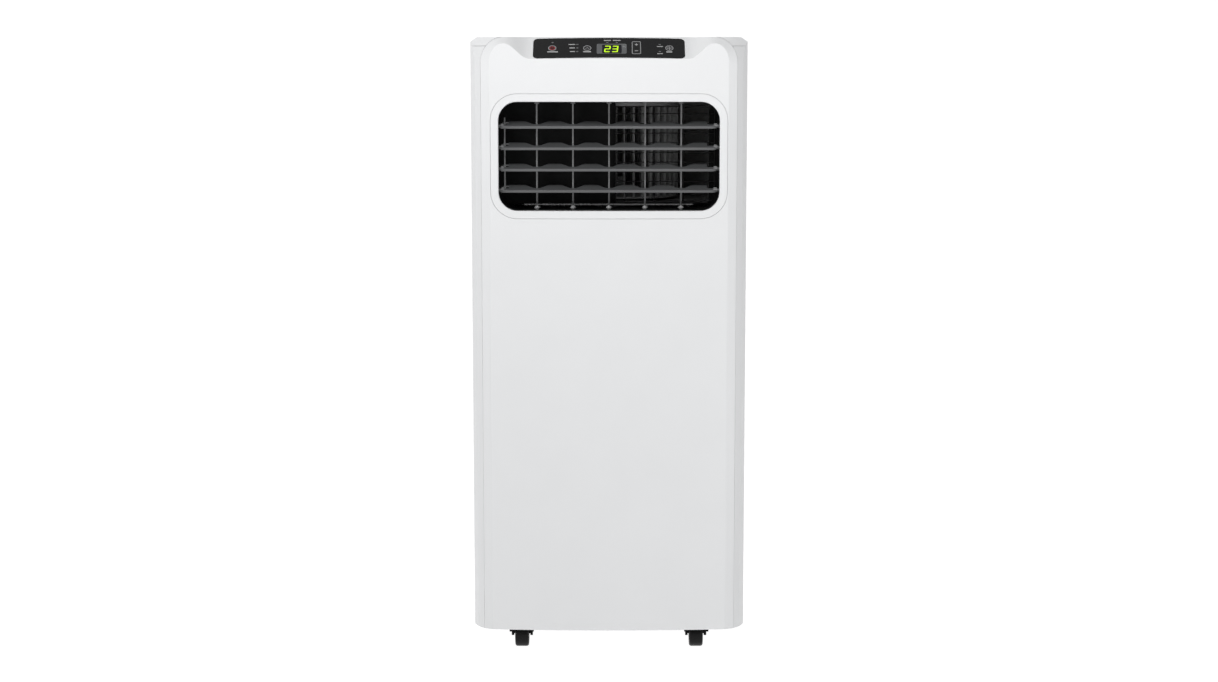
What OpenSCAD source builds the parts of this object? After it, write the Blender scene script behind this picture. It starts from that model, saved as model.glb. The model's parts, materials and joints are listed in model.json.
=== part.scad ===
// Portable air conditioner: an upright wheeled cabinet with a louvred cold-air outlet at the
// front, a sloping control panel above it, intake grilles and a round hot-air outlet at the back.
// Millimetres, +Z up. The origin is on the floor under the middle of the cabinet, and the front faces -Y.

/* [Cabinet] */
// Width over the side panels
body_width = 310; // [304:1:320]
// Height of the top cover above the floor
body_height = 700; // [698:1:704]
// Depth from the crown of the front panel to the rear panel
body_depth = 320; // [318:1:324]
// Height of the cabinet's lower edge above the floor
floor_gap = 28; // [26:1:30]
// Wall thickness of the moulded panels
wall = 3; // [2.5:0.5:3]
// How far the front face bulges at its middle
face_bulge = 5.5; // [4:0.5:6]

/* [Outlet] */
// Width of the air outlet's opening
outlet_width = 246.4; // [246:0.2:247]
// Height of the air outlet's opening
outlet_height = 120.8; // [120:0.2:121]
// Corner radius of the opening
outlet_radius = 21; // [18:1:22]
// Width of the ring around the opening
ring_width = 8.8; // [8:0.2:8.8]
// Height of the opening's centre above the floor
outlet_z = 568.2; // [567:0.2:569]
// Tilt of the horizontal louvres at rest, rear edge up
louvre_tilt = 18; // [15:1:20]
// Distance between louvres
louvre_pitch = 23.8; // [23.6:0.1:24]
// Distance between upright blades
blade_pitch = 40.5; // [40:0.5:41]

/* [Control panel] */
// Slope of the control panel from the horizontal
panel_slope = 40; // [38:1:42]
// Width of the dark overlay
overlay_width = 168; // [160:1:169]
// Length of the overlay up the slope
overlay_length = 33.6; // [32:0.2:34]

/* [Casters] */
// Radius of a caster's wheel
caster_radius = 16; // [15:0.5:16]
// Tread width of a caster's wheel
caster_tread = 15.7; // [14:0.1:16]
// Distance from the middle to each caster's swivel axis
caster_x = 100.6; // [90:0.2:104]
// How far the wheel trails its swivel axis
caster_trail = 8; // [6:0.5:9]

/* [Rear] */
// Inner radius of the hot-air collar
exhaust_radius = 66; // [64:1:67]
// Height of the hot-air collar's centre
exhaust_z = 380; // [378:1:382]

/* [Hidden] */
$fn = 48;

gap = 0.3; // clearance between neighbouring panels
half_w = body_width / 2;
top_z = body_height;
front_y = -165;
rear_y = front_y + body_depth;
outer_y = 165; // the rearmost face, on the hot-air collar
rear_radius = 22; // vertical rear corners

// Front panel: a flat face with a crest on each side of the control panel, and a narrow band round it.
face_half = 133;
band_half = 142.5;
band_y = front_y + 10;
facet_x = half_w - 5.5;
facet_y = front_y + 18;
side_y = front_y + 31;
dip_half = 88; // the face's top edge is level between -dip_half and dip_half
dip_z = top_z - 24;
crest_x = 117;
crest_z = top_z - 7;
shoulder_z = top_z - 28;
slope_run = 1 / tan(panel_slope);
crest_steps = 8;
shoulder_step = 15;

cover_z = top_z - 10; // the joint between the side panels and the top cover
top_bevel = [8, 5];
pan_z = floor_gap + 17.5; // underside of the base pan
pan_floor = 3;
pan_rim = 26;
rib_z = pan_z + pan_rim + 2; // lower end of the side panels' ribs

// Plan outline helpers
function unit(v) = v / norm(v);
function turned(u) = [-u[1], u[0]];
function inset(p, d) = [for (i = [0:len(p) - 1])
    let (a = p[(i + len(p) - 1) % len(p)], b = p[i], c = p[(i + 1) % len(p)],
         m = turned(unit(b - a)), n = turned(unit(c - b)))
    b + d * (m + n) / (1 + m * n)];
function arc(cx, cy, r, a0, a1, n) = [for (i = [0:n])
    let (a = a0 + (a1 - a0) * i / n) [cx + r * cos(a), cy + r * sin(a)]];
function rounded(w, h, r, n = 6) = concat(
    arc(w / 2 - r, h / 2 - r, r, 0, 90, n), arc(r - w / 2, h / 2 - r, r, 90, 180, n),
    arc(r - w / 2, r - h / 2, r, 180, 270, n), arc(w / 2 - r, r - h / 2, r, 270, 360, n));
function flipped(p) = [for (i = [len(p) - 1:-1:0]) [-p[i][0], p[i][1]]];

function face_y(x) = front_y + face_bulge * pow(x / face_half, 2);
right_outline = concat([[band_half, band_y], [facet_x, facet_y], [half_w, side_y]],
    arc(half_w - rear_radius, rear_y - rear_radius, rear_radius, 0, 90, 6));
body_outline = concat([for (i = [0:12]) let (x = face_half * (i / 6 - 1)) [x, face_y(x)]],
    right_outline, flipped(right_outline));

// Extrudes a drawing of (x, z) along Y, or one of (y, z) along X
module along_y(y0, y1) translate([0, y1, 0]) rotate([90, 0, 0]) linear_extrude(y1 - y0) children();
module along_x(x0, x1) translate([x0, 0, 0]) rotate([90, 0, 90]) linear_extrude(x1 - x0) children();
module above(z0, z1) translate([0, 0, z0]) linear_extrude(z1 - z0) children();
module block(low, high) translate(low) cube(high - low);
module rod_x(x0, x1, r) translate([x0, 0, 0]) rotate([0, 90, 0]) cylinder(r = r, h = x1 - x0);
module rod_y(y0, y1, r) translate([0, y1, 0]) rotate([90, 0, 0]) cylinder(r = r, h = y1 - y0);
module each_side() {
    children();
    mirror([1, 0, 0]) children();
}

// A solid through rings of points, each ring counter-clockwise as seen from the far end
module loft(rings) {
    m = len(rings);
    n = len(rings[0]);
    polyhedron(
        points = [for (ring = rings) for (p = ring) p],
        faces = concat([[for (k = [0:n - 1]) k]], [[for (k = [n - 1:-1:0]) (m - 1) * n + k]],
            [for (j = [0:m - 2]) for (k = [0:n - 1])
                let (l = (k + 1) % n) [j * n + k, (j + 1) * n + k, (j + 1) * n + l, j * n + l]]));
}

// A tube along hand-placed points, whose corners are rounded by a curve that starts at reach from each
function bent(p, reach, n = 5) = concat([p[0]],
    [for (i = [1:len(p) - 2]) for (k = [0:n])
        let (t = k / n, a = p[i] + reach * unit(p[i - 1] - p[i]), c = p[i] + reach * unit(p[i + 1] - p[i]))
        (1 - t) * (1 - t) * a + 2 * t * (1 - t) * p[i] + t * t * c],
    [p[len(p) - 1]]);
function heading(p, i) = unit(p[min(i + 1, len(p) - 1)] - p[max(i - 1, 0)]);
function ring_at(c, t, r, n) =
    let (u = unit(cross([0.31, 0.17, 0.93], t)), v = cross(t, u))
    [for (k = [0:n - 1]) c + r * (cos(360 * k / n) * u + sin(360 * k / n) * v)];
module pipe(p, r, n = 10) loft([for (i = [0:len(p) - 1]) ring_at(p[i], heading(p, i), r, n)]);

// ---- Front panel, ring and top cover ----

function crest(x) = abs(x) <= dip_half ? dip_z
    : dip_z + (crest_z - dip_z) * (1 - cos(180 * (abs(x) - dip_half) / (crest_x - dip_half))) / 2;
function slope_depth(z) = (top_z - z) * slope_run;
// A station is [x and z of the face's edge, x and z of the band's outer edge, depth between them]
function level_station(x) = [x, crest(x), x, top_z, slope_depth(crest(x))];
function shoulder_station(a) =
    [crest_x + (face_half - crest_x) * sin(a), shoulder_z + (crest_z - shoulder_z) * cos(a),
     crest_x + (band_half - crest_x) * sin(a), shoulder_z + (top_z - shoulder_z) * cos(a),
     slope_depth(crest_z) + (band_y - face_y(face_half) - slope_depth(crest_z)) * a / 90];
half_stations = concat(
    [for (i = [0:6]) level_station(dip_half * i / 6)],
    [for (i = [1:crest_steps]) level_station(dip_half + (crest_x - dip_half) * i / crest_steps)],
    [for (a = [shoulder_step:shoulder_step:90]) shoulder_station(a)]);
stations = concat(
    [for (i = [len(half_stations) - 1:-1:1]) let (s = half_stations[i]) [-s[0], s[1], -s[2], s[3], s[4]]],
    half_stations);

module front_sheet() {
    n = len(stations);
    last = stations[n - 1];
    side = face_y(last[0]) + last[4];
    outer = concat(
        [for (s = stations) [s[0], face_y(s[0]), floor_gap]],
        [for (s = stations) [s[0], face_y(s[0]), s[1]]],
        [for (s = stations) [s[2], face_y(s[0]) + s[4], s[3]]],
        [[-last[2], side, floor_gap], [last[2], side, floor_gap]]);
    m = len(outer);
    front = concat(
        [for (i = [0:n - 2]) [i, n + i, n + i + 1, i + 1]],
        [for (i = [0:n - 2]) [n + i, 2 * n + i, 2 * n + i + 1, n + i + 1]],
        [[3 * n, 2 * n, n, 0], [n - 1, 2 * n - 1, 3 * n - 1, 3 * n + 1]]);
    edge = concat([3 * n], [for (i = [0:n - 1]) 2 * n + i], [3 * n + 1], [for (i = [n - 1:-1:0]) i]);
    polyhedron(
        points = concat(outer, [for (p = outer) p + [0, wall, 0]]),
        faces = concat(front,
            [for (f = front) [for (k = [len(f) - 1:-1:0]) f[k] + m]],
            [for (i = [0:len(edge) - 1])
                let (a = edge[i], b = edge[(i + 1) % len(edge)]) [a, a + m, b + m, b]]));
}

module outlet_shape(grow) translate([0, outlet_z])
    polygon(rounded(outlet_width + 2 * grow, outlet_height + 2 * grow, outlet_radius + grow));

// Places children on the control panel's slope: x across, s up the slope, Z along its outward normal
module on_slope(x, s) translate([x, face_y(x) + s * cos(panel_slope), dip_z + s * sin(panel_slope)])
    rotate([panel_slope, 0, 0]) children();
overlay_s = 18.9;
module overlay_shape(grow) polygon(rounded(overlay_width + 2 * grow, overlay_length + 2 * grow, 5 + grow));

module front_panel() color("white") difference() {
    front_sheet();
    along_y(front_y - 5, front_y + 15) outlet_shape(ring_width + gap);
    on_slope(0, overlay_s) above(-8, 8) overlay_shape(gap);
}

// Plan of the front face's curve, from lift behind it to y1
module behind_face(lift, y1) polygon(concat(
    [for (i = [-12:12]) let (x = face_half * i / 12) [x, face_y(x) + lift]],
    [[face_half, y1], [-face_half, y1]]));

module outlet_bezel() color("white") intersection() {
    along_y(front_y - 1, front_y + 15) difference() {
        outlet_shape(ring_width);
        outlet_shape(0);
    }
    above(0, top_z) difference() {
        behind_face(0, front_y + 20);
        behind_face(wall, front_y + 21);
    }
}

// The band's outer corner, grown a little: what lies outside it belongs to the side panel and top cover
shoulder_curve = [for (a = [0:shoulder_step / 2:90])
    [crest_x + (band_half + gap - crest_x) * sin(a), shoulder_z + (top_z + gap - shoulder_z) * cos(a)]];
module shoulder_cut() along_y(front_y - 10, front_y + 16)
    polygon(concat([[0, 0], [0, top_z + gap]], shoulder_curve, [[band_half + gap, 0]]));

// The corner outside the shoulder leans back from the band's edge. A ring is the part of one radial
// plane in front of it, from just inside the band's edge to well outside the cabinet.
corner_y = band_y + 0.4; // front of the stock that the corner is cut from
corner_step = 0.4; // how far the corner sits behind the band's edge at the top
corner_reach = 24;
side_lean = (facet_y - band_y) / (facet_x - band_half);
top_lean = 0.7;
function shoulder_edge(a) = let (s = shoulder_station(a)) face_y(s[0]) + s[4];
function corner_point(a, d, y) =
    [crest_x + (band_half - crest_x + d) * sin(a), y, shoulder_z + (top_z - shoulder_z + d) * cos(a)];
function corner_ring(a) =
    let (edge = shoulder_edge(a) + corner_step * cos(a), lean = top_lean + (side_lean - top_lean) * a / 90)
    [corner_point(a, -1, front_y - 10), corner_point(a, -1, edge - lean),
     corner_point(a, corner_reach, edge + lean * corner_reach), corner_point(a, corner_reach, front_y - 10)];
module corner_front() loft([for (a = [0:shoulder_step / 2:90]) corner_ring(a)]);

cover_front = concat(
    [for (s = half_stations) if (s[2] <= crest_x) [s[2], face_y(s[0]) + s[4] + wall + gap]],
    [[crest_x, corner_y], [band_half, corner_y], [facet_x, facet_y], [half_w, side_y]],
    arc(half_w - rear_radius, rear_y - rear_radius, rear_radius, 0, 90, 6));
cover_outline = concat(cover_front, [for (p = flipped(cover_front)) if (p[0] < 0) p]);
cover_rim_y = front_y + 37; // front of the hollow under the top cover
module cover_bevel() {
    along_y(front_y - 1, rear_y + 1) polygon([[-half_w, cover_z - 1], [half_w, cover_z - 1],
        [half_w, top_z - top_bevel[1]], [half_w - top_bevel[0], top_z],
        [top_bevel[0] - half_w, top_z], [-half_w, top_z - top_bevel[1]]]);
}
module rear_bevel() along_x(-half_w, half_w)
    polygon([[front_y - 1, cover_z - 1], [rear_y, cover_z - 1], [rear_y, top_z - top_bevel[1]],
        [rear_y - top_bevel[0], top_z], [front_y - 1, top_z]]);

module top_cover() color("white") difference() {
    intersection() {
        above(cover_z + gap, top_z) polygon(cover_outline);
        cover_bevel();
        rear_bevel();
    }
    above(cover_z - 1, top_z - wall) intersection() {
        polygon(inset(body_outline, wall + 2));
        translate([-half_w, cover_rim_y]) square([body_width, body_depth]);
    }
    each_side() {
        shoulder_cut();
        corner_front();
    }
}

// ---- Side, rear and base panels ----

rear_half = 128;
cup_y = 45; // middle of the side handles
cup_z = 608;
cup_size = [104, 34]; // outside of the handle's recess
cup_radius = 7;
cup_wall = 2.5;
cup_depth = 17;
cup_rim = 6.5; // width of the rim round the recess, flush with the panel
cup_flange = 6; // how much wider the flange behind the panel is
module cup_outline(grow) polygon(
    rounded(cup_size[0] + 2 * grow, cup_size[1] + 2 * grow, cup_radius + grow));

module shell_ring(z0, z1) above(z0, z1) difference() {
    polygon(body_outline);
    polygon(inset(body_outline, wall));
}

module right_panel_body() difference() {
    union() {
        intersection() {
            shell_ring(floor_gap, cover_z);
            union() {
                block([band_half + gap, corner_y - 5, 0], [half_w + 1, rear_y + 1, top_z]);
                block([rear_half + gap, 0, 0], [half_w + 1, rear_y + 1, top_z]);
            }
        }
        intersection() {
            above(shoulder_z, cover_z) polygon(body_outline);
            translate([0, wall, 0]) corner_front();
        }
        // rib that the front panel clips to
        block([band_half + 1, corner_y + wall + 1, rib_z], [band_half + 3, -120, cover_z - 12]);
        block([band_half + 1, -122, rib_z], [half_w - 1, -120, cover_z - 12]);
    }
    shoulder_cut();
    corner_front();
    translate([0, cup_y, cup_z]) along_x(half_w - 2 * wall, half_w + 1) cup_outline(cup_rim + gap);
}
module right_side_panel() color("white") right_panel_body();
module left_side_panel() color("white") mirror([1, 0, 0]) right_panel_body();

module handle_cups() color("gainsboro") each_side() translate([0, cup_y, cup_z]) difference() {
    union() {
        along_x(half_w - cup_depth - 2, half_w - wall - 0.2) cup_outline(0);
        along_x(half_w - wall - 2.2, half_w - wall - 0.2) cup_outline(cup_rim + cup_flange);
        along_x(half_w - wall - 0.2, half_w) cup_outline(cup_rim);
    }
    along_x(half_w - cup_depth, half_w + 1) cup_outline(-cup_wall);
}

// Windows in the rear panel
intake_half = 118;
upper_window = [474, 668];
lower_window = [76, 288];
drain_x = -84;
drain_z = 58;
cord_x = 92;
cord_z = 312;

collar_hole = exhaust_radius + 3.4;
drain_hole = 8.3;
cord_hole = 8.2;

// Cuts a round hole through the rear panel at (x, z)
module rear_hole(x, z, r) translate([x, 0, z]) rod_y(rear_y - wall - 1, rear_y + 1, r);

module rear_panel() color("white") difference() {
    block([-rear_half, rear_y - wall, floor_gap], [rear_half, rear_y, cover_z]);
    for (window = [upper_window, lower_window])
        block([-intake_half, rear_y - wall - 1, window[0]], [intake_half, rear_y + 1, window[1]]);
    rear_hole(0, exhaust_z, collar_hole);
    rear_hole(drain_x, drain_z, drain_hole);
    rear_hole(cord_x, cord_z, cord_hole);
}

module base_pan() color("dimgray") difference() {
    union() {
        above(pan_z, pan_z + pan_floor) polygon(inset(body_outline, wall + 0.5));
        above(pan_z, pan_z + pan_rim) difference() {
            polygon(inset(body_outline, wall + 0.5));
            polygon(inset(body_outline, wall + 3));
        }
        // raised rails that carry the condenser, which stands between their lips
        for (y = [condenser_y[0] - 3, condenser_y[1] - 3]) {
            block([-126, y, pan_z + pan_floor - 0.1], [126, y + 6, condenser_z]);
        }
    }
    translate([drain_x, 0, drain_z]) rod_y(rear_y - 20, rear_y + 1, drain_hole);
    for (k = [0:3]) at_caster(k) plate_screws() translate([0, 0, pan_z - 1]) cylinder(r = 1.9, h = 10);
}

// ---- Rear fittings ----

slat_pitch = 9.2;
grille_rim = 8;
grille_y = [rear_y - 4, rear_y + 3];
function middle(range) = (range[0] + range[1]) / 2;

module slats(half, low, high) {
    n = floor((high - low) / slat_pitch);
    y0 = grille_y[0];
    y1 = grille_y[1] - 0.8;
    for (i = [0:n - 1]) {
        z = low + (i + 0.5) * (high - low) / n;
        along_x(-half, half) polygon([[y0, z + 1.6], [y1, z - 2.6], [y1, z - 0.9], [y0, z + 3.3]]);
    }
}
module grille_frame(window) {
    height = window[1] - window[0];
    along_y(grille_y[0], grille_y[1]) translate([0, middle(window)]) difference() {
        polygon(rounded(2 * intake_half - 0.8, height - 0.8, 3));
        polygon(rounded(2 * (intake_half - grille_rim), height - 2 * grille_rim, 5));
    }
}
module grille(window) {
    grille_frame(window);
    slats(intake_half - grille_rim + 1, window[0] + grille_rim, window[1] - grille_rim);
    for (x = [-56, 0, 56])
        block([x - 1.5, grille_y[0] + 0.3, window[0] + grille_rim - 1],
            [x + 1.5, grille_y[1] - 1, window[1] - grille_rim + 1]);
}

module filter_grille() color("white") {
    grille(upper_window);
    // pull tabs along the top edge
    for (x = [-60, 60])
        block([x - 14, rear_y + 2.5, upper_window[1] - 7], [x + 14, rear_y + 6, upper_window[1] - 2]);
}

filter_size = [230, 188];
filter_rim = 4;
module air_filter() color("dimgray") translate([0, rear_y - 8.2, middle(upper_window)]) {
    along_y(0, 4) difference() {
        polygon(rounded(filter_size[0], filter_size[1], 3));
        polygon(rounded(filter_size[0] - 2 * filter_rim, filter_size[1] - 2 * filter_rim, 3));
    }
    half = filter_size / 2 - [filter_rim - 1, filter_rim - 1];
    for (x = [-75:37.5:75]) block([x - 1, 0.8, -half[1]], [x + 1, 3.6, half[1]]);
    for (z = [-70:35:70]) block([-half[0], 0.8, z - 1], [half[0], 3.6, z + 1]);
    block([-half[0], 1.6, -half[1]], [half[0], 2.2, half[1]]);
}
module lower_intake_grille() color("white") grille(lower_window);

collar_front = 120; // inner end of the collar
collar_flange = [rear_y + 0.2, rear_y + 3.2];
module at_collar_screws() for (a = [45:90:315])
    translate([0, 0, exhaust_z]) rotate([0, a, 0]) translate([exhaust_radius + 8, 0, 0]) children();
module exhaust_collar() color("white") difference() {
    translate([0, 0, exhaust_z]) {
        rod_y(collar_front, outer_y, exhaust_radius + wall);
        rod_y(collar_flange[0], collar_flange[1], exhaust_radius + 12);
    }
    translate([0, 0, exhaust_z]) rod_y(collar_front - 1, outer_y + 1, exhaust_radius);
    at_collar_screws() rod_y(rear_y - 1, rear_y + 6, 1.8);
}

module cord_inlet() color("black") translate([cord_x, 0, cord_z]) difference() {
    union() {
        rod_y(rear_y - 12, rear_y + 0.2, 7.9);
        rod_y(rear_y + 0.2, rear_y + 5, 10);
    }
    rod_y(rear_y - 13, rear_y + 6, 4);
}

module drain_spout() color("gray") translate([drain_x, 0, drain_z]) difference() {
    union() {
        rod_y(rear_y - 16, outer_y - 1, 8);
        rod_y(rear_y + 0.1, rear_y + 2, 11);
    }
    rod_y(rear_y - 17, outer_y + 1, 5.5);
}
module drain_plug() color("black") translate([drain_x, 0, drain_z]) {
    rod_y(rear_y - 2, outer_y - 0.8, 5.45);
    rod_y(outer_y - 0.8, outer_y, 7.4);
}

// ---- Outlet: frame, louvres, blades and their links ----

frame_wall = 2.5;
frame_front = front_y + 9.2;
frame_rear = -100;
louvre_y = -147.2; // the louvres' pivot axes
louvre_front = 5; // pivot to front edge, along the louvre
louvre_chord = 19.5;
notch_s = 9.7; // front edge to the bottom of a notch
louvre_half = 121;
louvre_body = [-112.5, 110];
louvre_top_z = outlet_z + 1.5 * louvre_pitch - 2.4;
pivot_r = 1.95;
bore_r = 2.0;
pin_r = 1; // pins of the louvres and blades that carry their links
pin_play = 0.07;
blade_y = -134; // the blades' pivot axes
link_arm = 10.5; // louvre pivot to link pin
crank_arm = 9; // blade pivot to crank pin
link_x = -117;
floor_z = outlet_z - outlet_height / 2;
ceiling_z = outlet_z + outlet_height / 2;
louvre_z = [for (i = [0:3]) louvre_top_z - i * louvre_pitch];
blade_x = [for (i = [-2:2]) i * blade_pitch];

module outlet_frame() color("black") difference() {
    union() {
        intersection() {
            along_y(front_y, frame_rear) difference() {
                outlet_shape(frame_wall);
                outlet_shape(0);
            }
            above(0, top_z) behind_face(wall + 0.1, frame_rear + 1);
        }
        // lugs that the case screws hold
        for (x = [-100, 100], z = [floor_z - 8, ceiling_z + 8])
            translate([x, 0, z]) rod_y(frame_front + 6, frame_front + 16, 6.5);
    }
    for (z = louvre_z) translate([0, louvre_y, z]) rod_x(-half_w, half_w, bore_r);
    for (x = blade_x) translate([x, blade_y, floor_z - 8]) cylinder(r = bore_r, h = outlet_height + 16);
    for (x = [-100, 100], z = [floor_z - 8, ceiling_z + 8])
        translate([x, 0, z]) rod_y(frame_front, frame_front + 20, 1.6);
}

// Plan of a louvre: (x, distance behind the front edge), with a notch at each blade
notch_wide = 11.5;
notch_narrow = 1.9;
louvre_plan = concat([[-louvre_half + 3, 1], [louvre_half - 3, 1], [louvre_half, 6], [louvre_half, 8.5],
    [louvre_body[1] + 2, 8.5], [louvre_body[1], louvre_chord]],
    [for (i = [4:-1:0]) for (p = [[notch_wide, louvre_chord], [notch_narrow, notch_s],
        [-notch_narrow, notch_s], [-notch_wide, louvre_chord]]) [blade_x[i] + p[0], p[1]]],
    [[louvre_body[0], louvre_chord], [louvre_body[0], 8.5], [-louvre_half, 8.5], [-louvre_half, 6]]);
module louvre(i) color("dimgray") translate([0, louvre_y, louvre_z[i]]) rotate([louvre_tilt, 0, 0]) {
    translate([0, -louvre_front, -0.8]) linear_extrude(1.6) polygon(louvre_plan);
    translate([0, 1.4 - louvre_front, 0]) rod_x(-louvre_half + 3, louvre_half - 3, 1.45);
    for (x = [-louvre_half - 4.4, louvre_half - 2]) rod_x(x, x + 6.4, pivot_r);
    translate([0, link_arm, 0]) rod_x(link_x - 2.4, louvre_body[0] + 2, pin_r);
}

link_rise = link_arm * sin(louvre_tilt);
link_back = link_arm * cos(louvre_tilt);
link_half = 3.3;
module louvre_link() color("dimgray") translate([0, louvre_y + link_back, link_rise]) difference() {
    block([link_x - 1.1, -link_half, louvre_z[3] - 4], [link_x + 1.1, link_half, louvre_z[0] + 6]);
    for (z = louvre_z) translate([0, 0, z]) rod_x(link_x - 2, link_x + 2, pin_r + pin_play);
}

blade_foot = floor_z + 9.5;
module blade(i) color("dimgray") translate([blade_x[i], blade_y, 0]) {
    above(blade_foot, ceiling_z - 3) polygon([[-0.6, -6.4], [0.6, -6.4], [1.0, -5], [0.9, 4], [0.5, 17.5],
        [-0.5, 17.5], [-0.9, 4], [-1.0, -5]]);
    translate([0, 0, blade_foot - 1]) cylinder(r = 2.6, h = 4);
    translate([0, 0, floor_z + 0.6]) cylinder(r = pivot_r, h = blade_foot - floor_z);
    translate([0, 0, floor_z + 1]) cylinder(r1 = 2.2, r2 = 3.9, h = 2);
    translate([0, 0, floor_z + 3]) cylinder(r1 = 3.9, r2 = 2.2, h = 2);
    translate([0, 0, floor_z - frame_wall - 0.6]) cylinder(r = pivot_r, h = frame_wall + 2);
    translate([0, 0, ceiling_z - 3.2]) cylinder(r = pivot_r, h = 3.2 + frame_wall + 0.6);
    translate([0, 0, ceiling_z - 1.9]) cylinder(r = 2.9, h = 1.1);
    translate([0, crank_arm, floor_z + 3.6]) cylinder(r = pin_r, h = 8);
    translate([-0.5, 6.5, blade_foot - 0.5]) cube([1, 5, 4]);
}

blade_link_z = floor_z + 4.2;
blade_link_half = 2.6;
module blade_link() color("dimgray") translate([0, blade_y + crank_arm, blade_link_z]) difference() {
    union() {
        block([-95, -blade_link_half, 0], [95, blade_link_half, 1.8]);
        block([-96, -blade_link_half, 0], [-88, blade_link_half, 2.6]);
    }
    for (x = blade_x) translate([x, 0, -1]) cylinder(r = pin_r + pin_play, h = 5);
}

guard_pitch = 11;
guard_first_z = 526; // lowest of the level wires
guard_x = [7, 121];
guard_y = -99;
guard_z = [514, 623];
module finger_guard() color("black") {
    for (i = [0:8]) {
        z = guard_first_z + guard_pitch * i;
        block([guard_x[0], guard_y - 0.6, z - 0.6], [guard_x[1], guard_y + 0.6, z + 0.6]);
    }
    for (x = [guard_x[0] + 0.7, 18.5, 51.5, 84.5, guard_x[1] - 0.7])
        block([x - 0.7, guard_y - 0.8, guard_z[0] + 1], [x + 0.7, guard_y + 0.8, guard_z[1]]);
    for (z = [guard_z[0] + 1, guard_z[1] - 1])
        block([guard_x[0], guard_y - 0.8, z - 1], [guard_x[1], guard_y + 0.8, z + 1]);
}

// ---- Evaporator blower ----

blower = [8, -10]; // axis
drum_r = 74;
scroll_z = [511, 632];
function spiral(grow) = [for (k = [0:18]) let (a = 270 - 15 * k, r = 79 + 27 * k / 18 + grow)
    [blower[0] + r * cos(a), blower[1] + r * sin(a)]];
module scroll_plan(grow) polygon(concat(spiral(grow), [[blower[0] + 106 + grow, -97], [7 - grow, -97]]));

module blower_scroll() color("black") {
    difference() {
        above(scroll_z[0], scroll_z[1]) scroll_plan(2.5);
        above(scroll_z[0] + 2, scroll_z[1] - 2) scroll_plan(0);
        block([7, -105, floor_z + 6], [blower[0] + 106, -95, ceiling_z]);
        translate([blower[0], blower[1], scroll_z[0] - 1]) cylinder(r = 30, h = 4);
        translate([blower[0], blower[1], scroll_z[1] - 3]) cylinder(r = 62, h = 4);
    }
    // plate that closes the outlet frame's back beside the throat
    block([-outlet_width / 2 - 2, -97.8, scroll_z[0]], [5, -95.6, scroll_z[1]]);
    block([blower[0] + 108, -97.8, scroll_z[0]], [outlet_width / 2 + 2, -95.6, scroll_z[1]]);
}

// A squirrel-cage wheel about Z: back plate, hub, blades and rim
module cage(r, h, count, hub_r, bore) difference() {
    union() {
        cylinder(r = r, h = 2);
        cylinder(r = hub_r, h = 22);
        translate([0, 0, h - 4]) difference() {
            cylinder(r = r, h = 4);
            translate([0, 0, -1]) cylinder(r = r - 12, h = 6);
        }
        translate([0, 0, 1]) linear_extrude(h - 2) for (i = [0:count - 1]) rotate(360 * i / count)
            polygon([[r - 12.5, 0.6], [r - 8, -1.6], [r - 3.5, -2.6], [r - 0.6, -2.4], [r - 0.6, -1.4],
                [r - 3.5, -1.5], [r - 8, -0.5], [r - 12.2, 1.7]]);
    }
    translate([0, 0, -1]) cylinder(r = bore, h = 30);
}
shaft_r = 4;
shaft_play = 0.05;
module blower_wheel() color("silver") translate([blower[0], blower[1], scroll_z[0] + 5])
    cage(drum_r, 110, 40, 12, shaft_r + shaft_play);

module motor_body(r, h) {
    cylinder(r = r, h = h * 0.42);
    translate([0, 0, h * 0.42]) cylinder(r = r + 3, h = 3);
    translate([0, 0, h * 0.42 + 3]) cylinder(r = r, h = h * 0.58 - 3);
    for (a = [45:90:315]) rotate(a) translate([r + 1, -5, h * 0.42]) cube([9, 10, 3]);
    translate([0, 0, h]) cylinder(r = 12, h = 3);
}
motor_z = 457.5;
module blower_motor() color("lightslategray") translate([blower[0], blower[1], 0]) {
    translate([0, 0, motor_z]) motor_body(40, 48);
    translate([0, 0, motor_z + 50.5]) cylinder(r = shaft_r, h = 28);
}

// Fin coil: a comb of fins between two end plates, with rows of tube stubs
module fin_coil(half, y0, y1, z0, z1, count) {
    pitch = (2 * half - 4) / count;
    above(z0 + 1, z1 - 1) polygon(concat(
        [[-half + 1, y1 - 6], [-half + 1, y1]], [[half - 1, y1], [half - 1, y1 - 6]],
        [for (i = [count - 1:-1:0])
            for (p = [[0.7, y1 - 6], [0.7, y0 + 0.5], [0.4, y0 + 0.5], [0.4, y1 - 6]])
                [-half + 2 + pitch * (i + p[0]), p[1]]]));
    for (x = [-half, half - 1.5]) block([x, y0, z0], [x + 1.5, y1, z1]);
}
coil_x = 125;
evaporator_y = [97, 128];
condenser_y = [97, 131];
condenser_z = 62;
module evaporator() color("silver") fin_coil(coil_x, evaporator_y[0], evaporator_y[1], 468, 684, 60);
module condenser() color("silver") fin_coil(coil_x, condenser_y[0], condenser_y[1], condenser_z, 300, 60);

tray_z = [452, 464];
tray_wall = 2.5;
tray_low = [-136, -92];
tray_high = [136, 139];
module drip_tray() color("lightgray") {
    difference() {
        block([tray_low[0], tray_low[1], tray_z[0]], [tray_high[0], tray_high[1], tray_z[1]]);
        block([tray_low[0] + tray_wall, tray_low[1] + tray_wall, tray_z[0] + tray_wall],
            [tray_high[0] - tray_wall, tray_high[1] - tray_wall, tray_z[1] + 1]);
        translate([-124, 120, tray_z[0] - 1]) cylinder(r = 5, h = 10);
    }
    // seat under the blower motor
    translate([blower[0], blower[1], tray_z[0] + 1]) cylinder(r = 24, h = motor_z - tray_z[0] - 1.2);
}

// ---- Lower compartment ----

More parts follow.
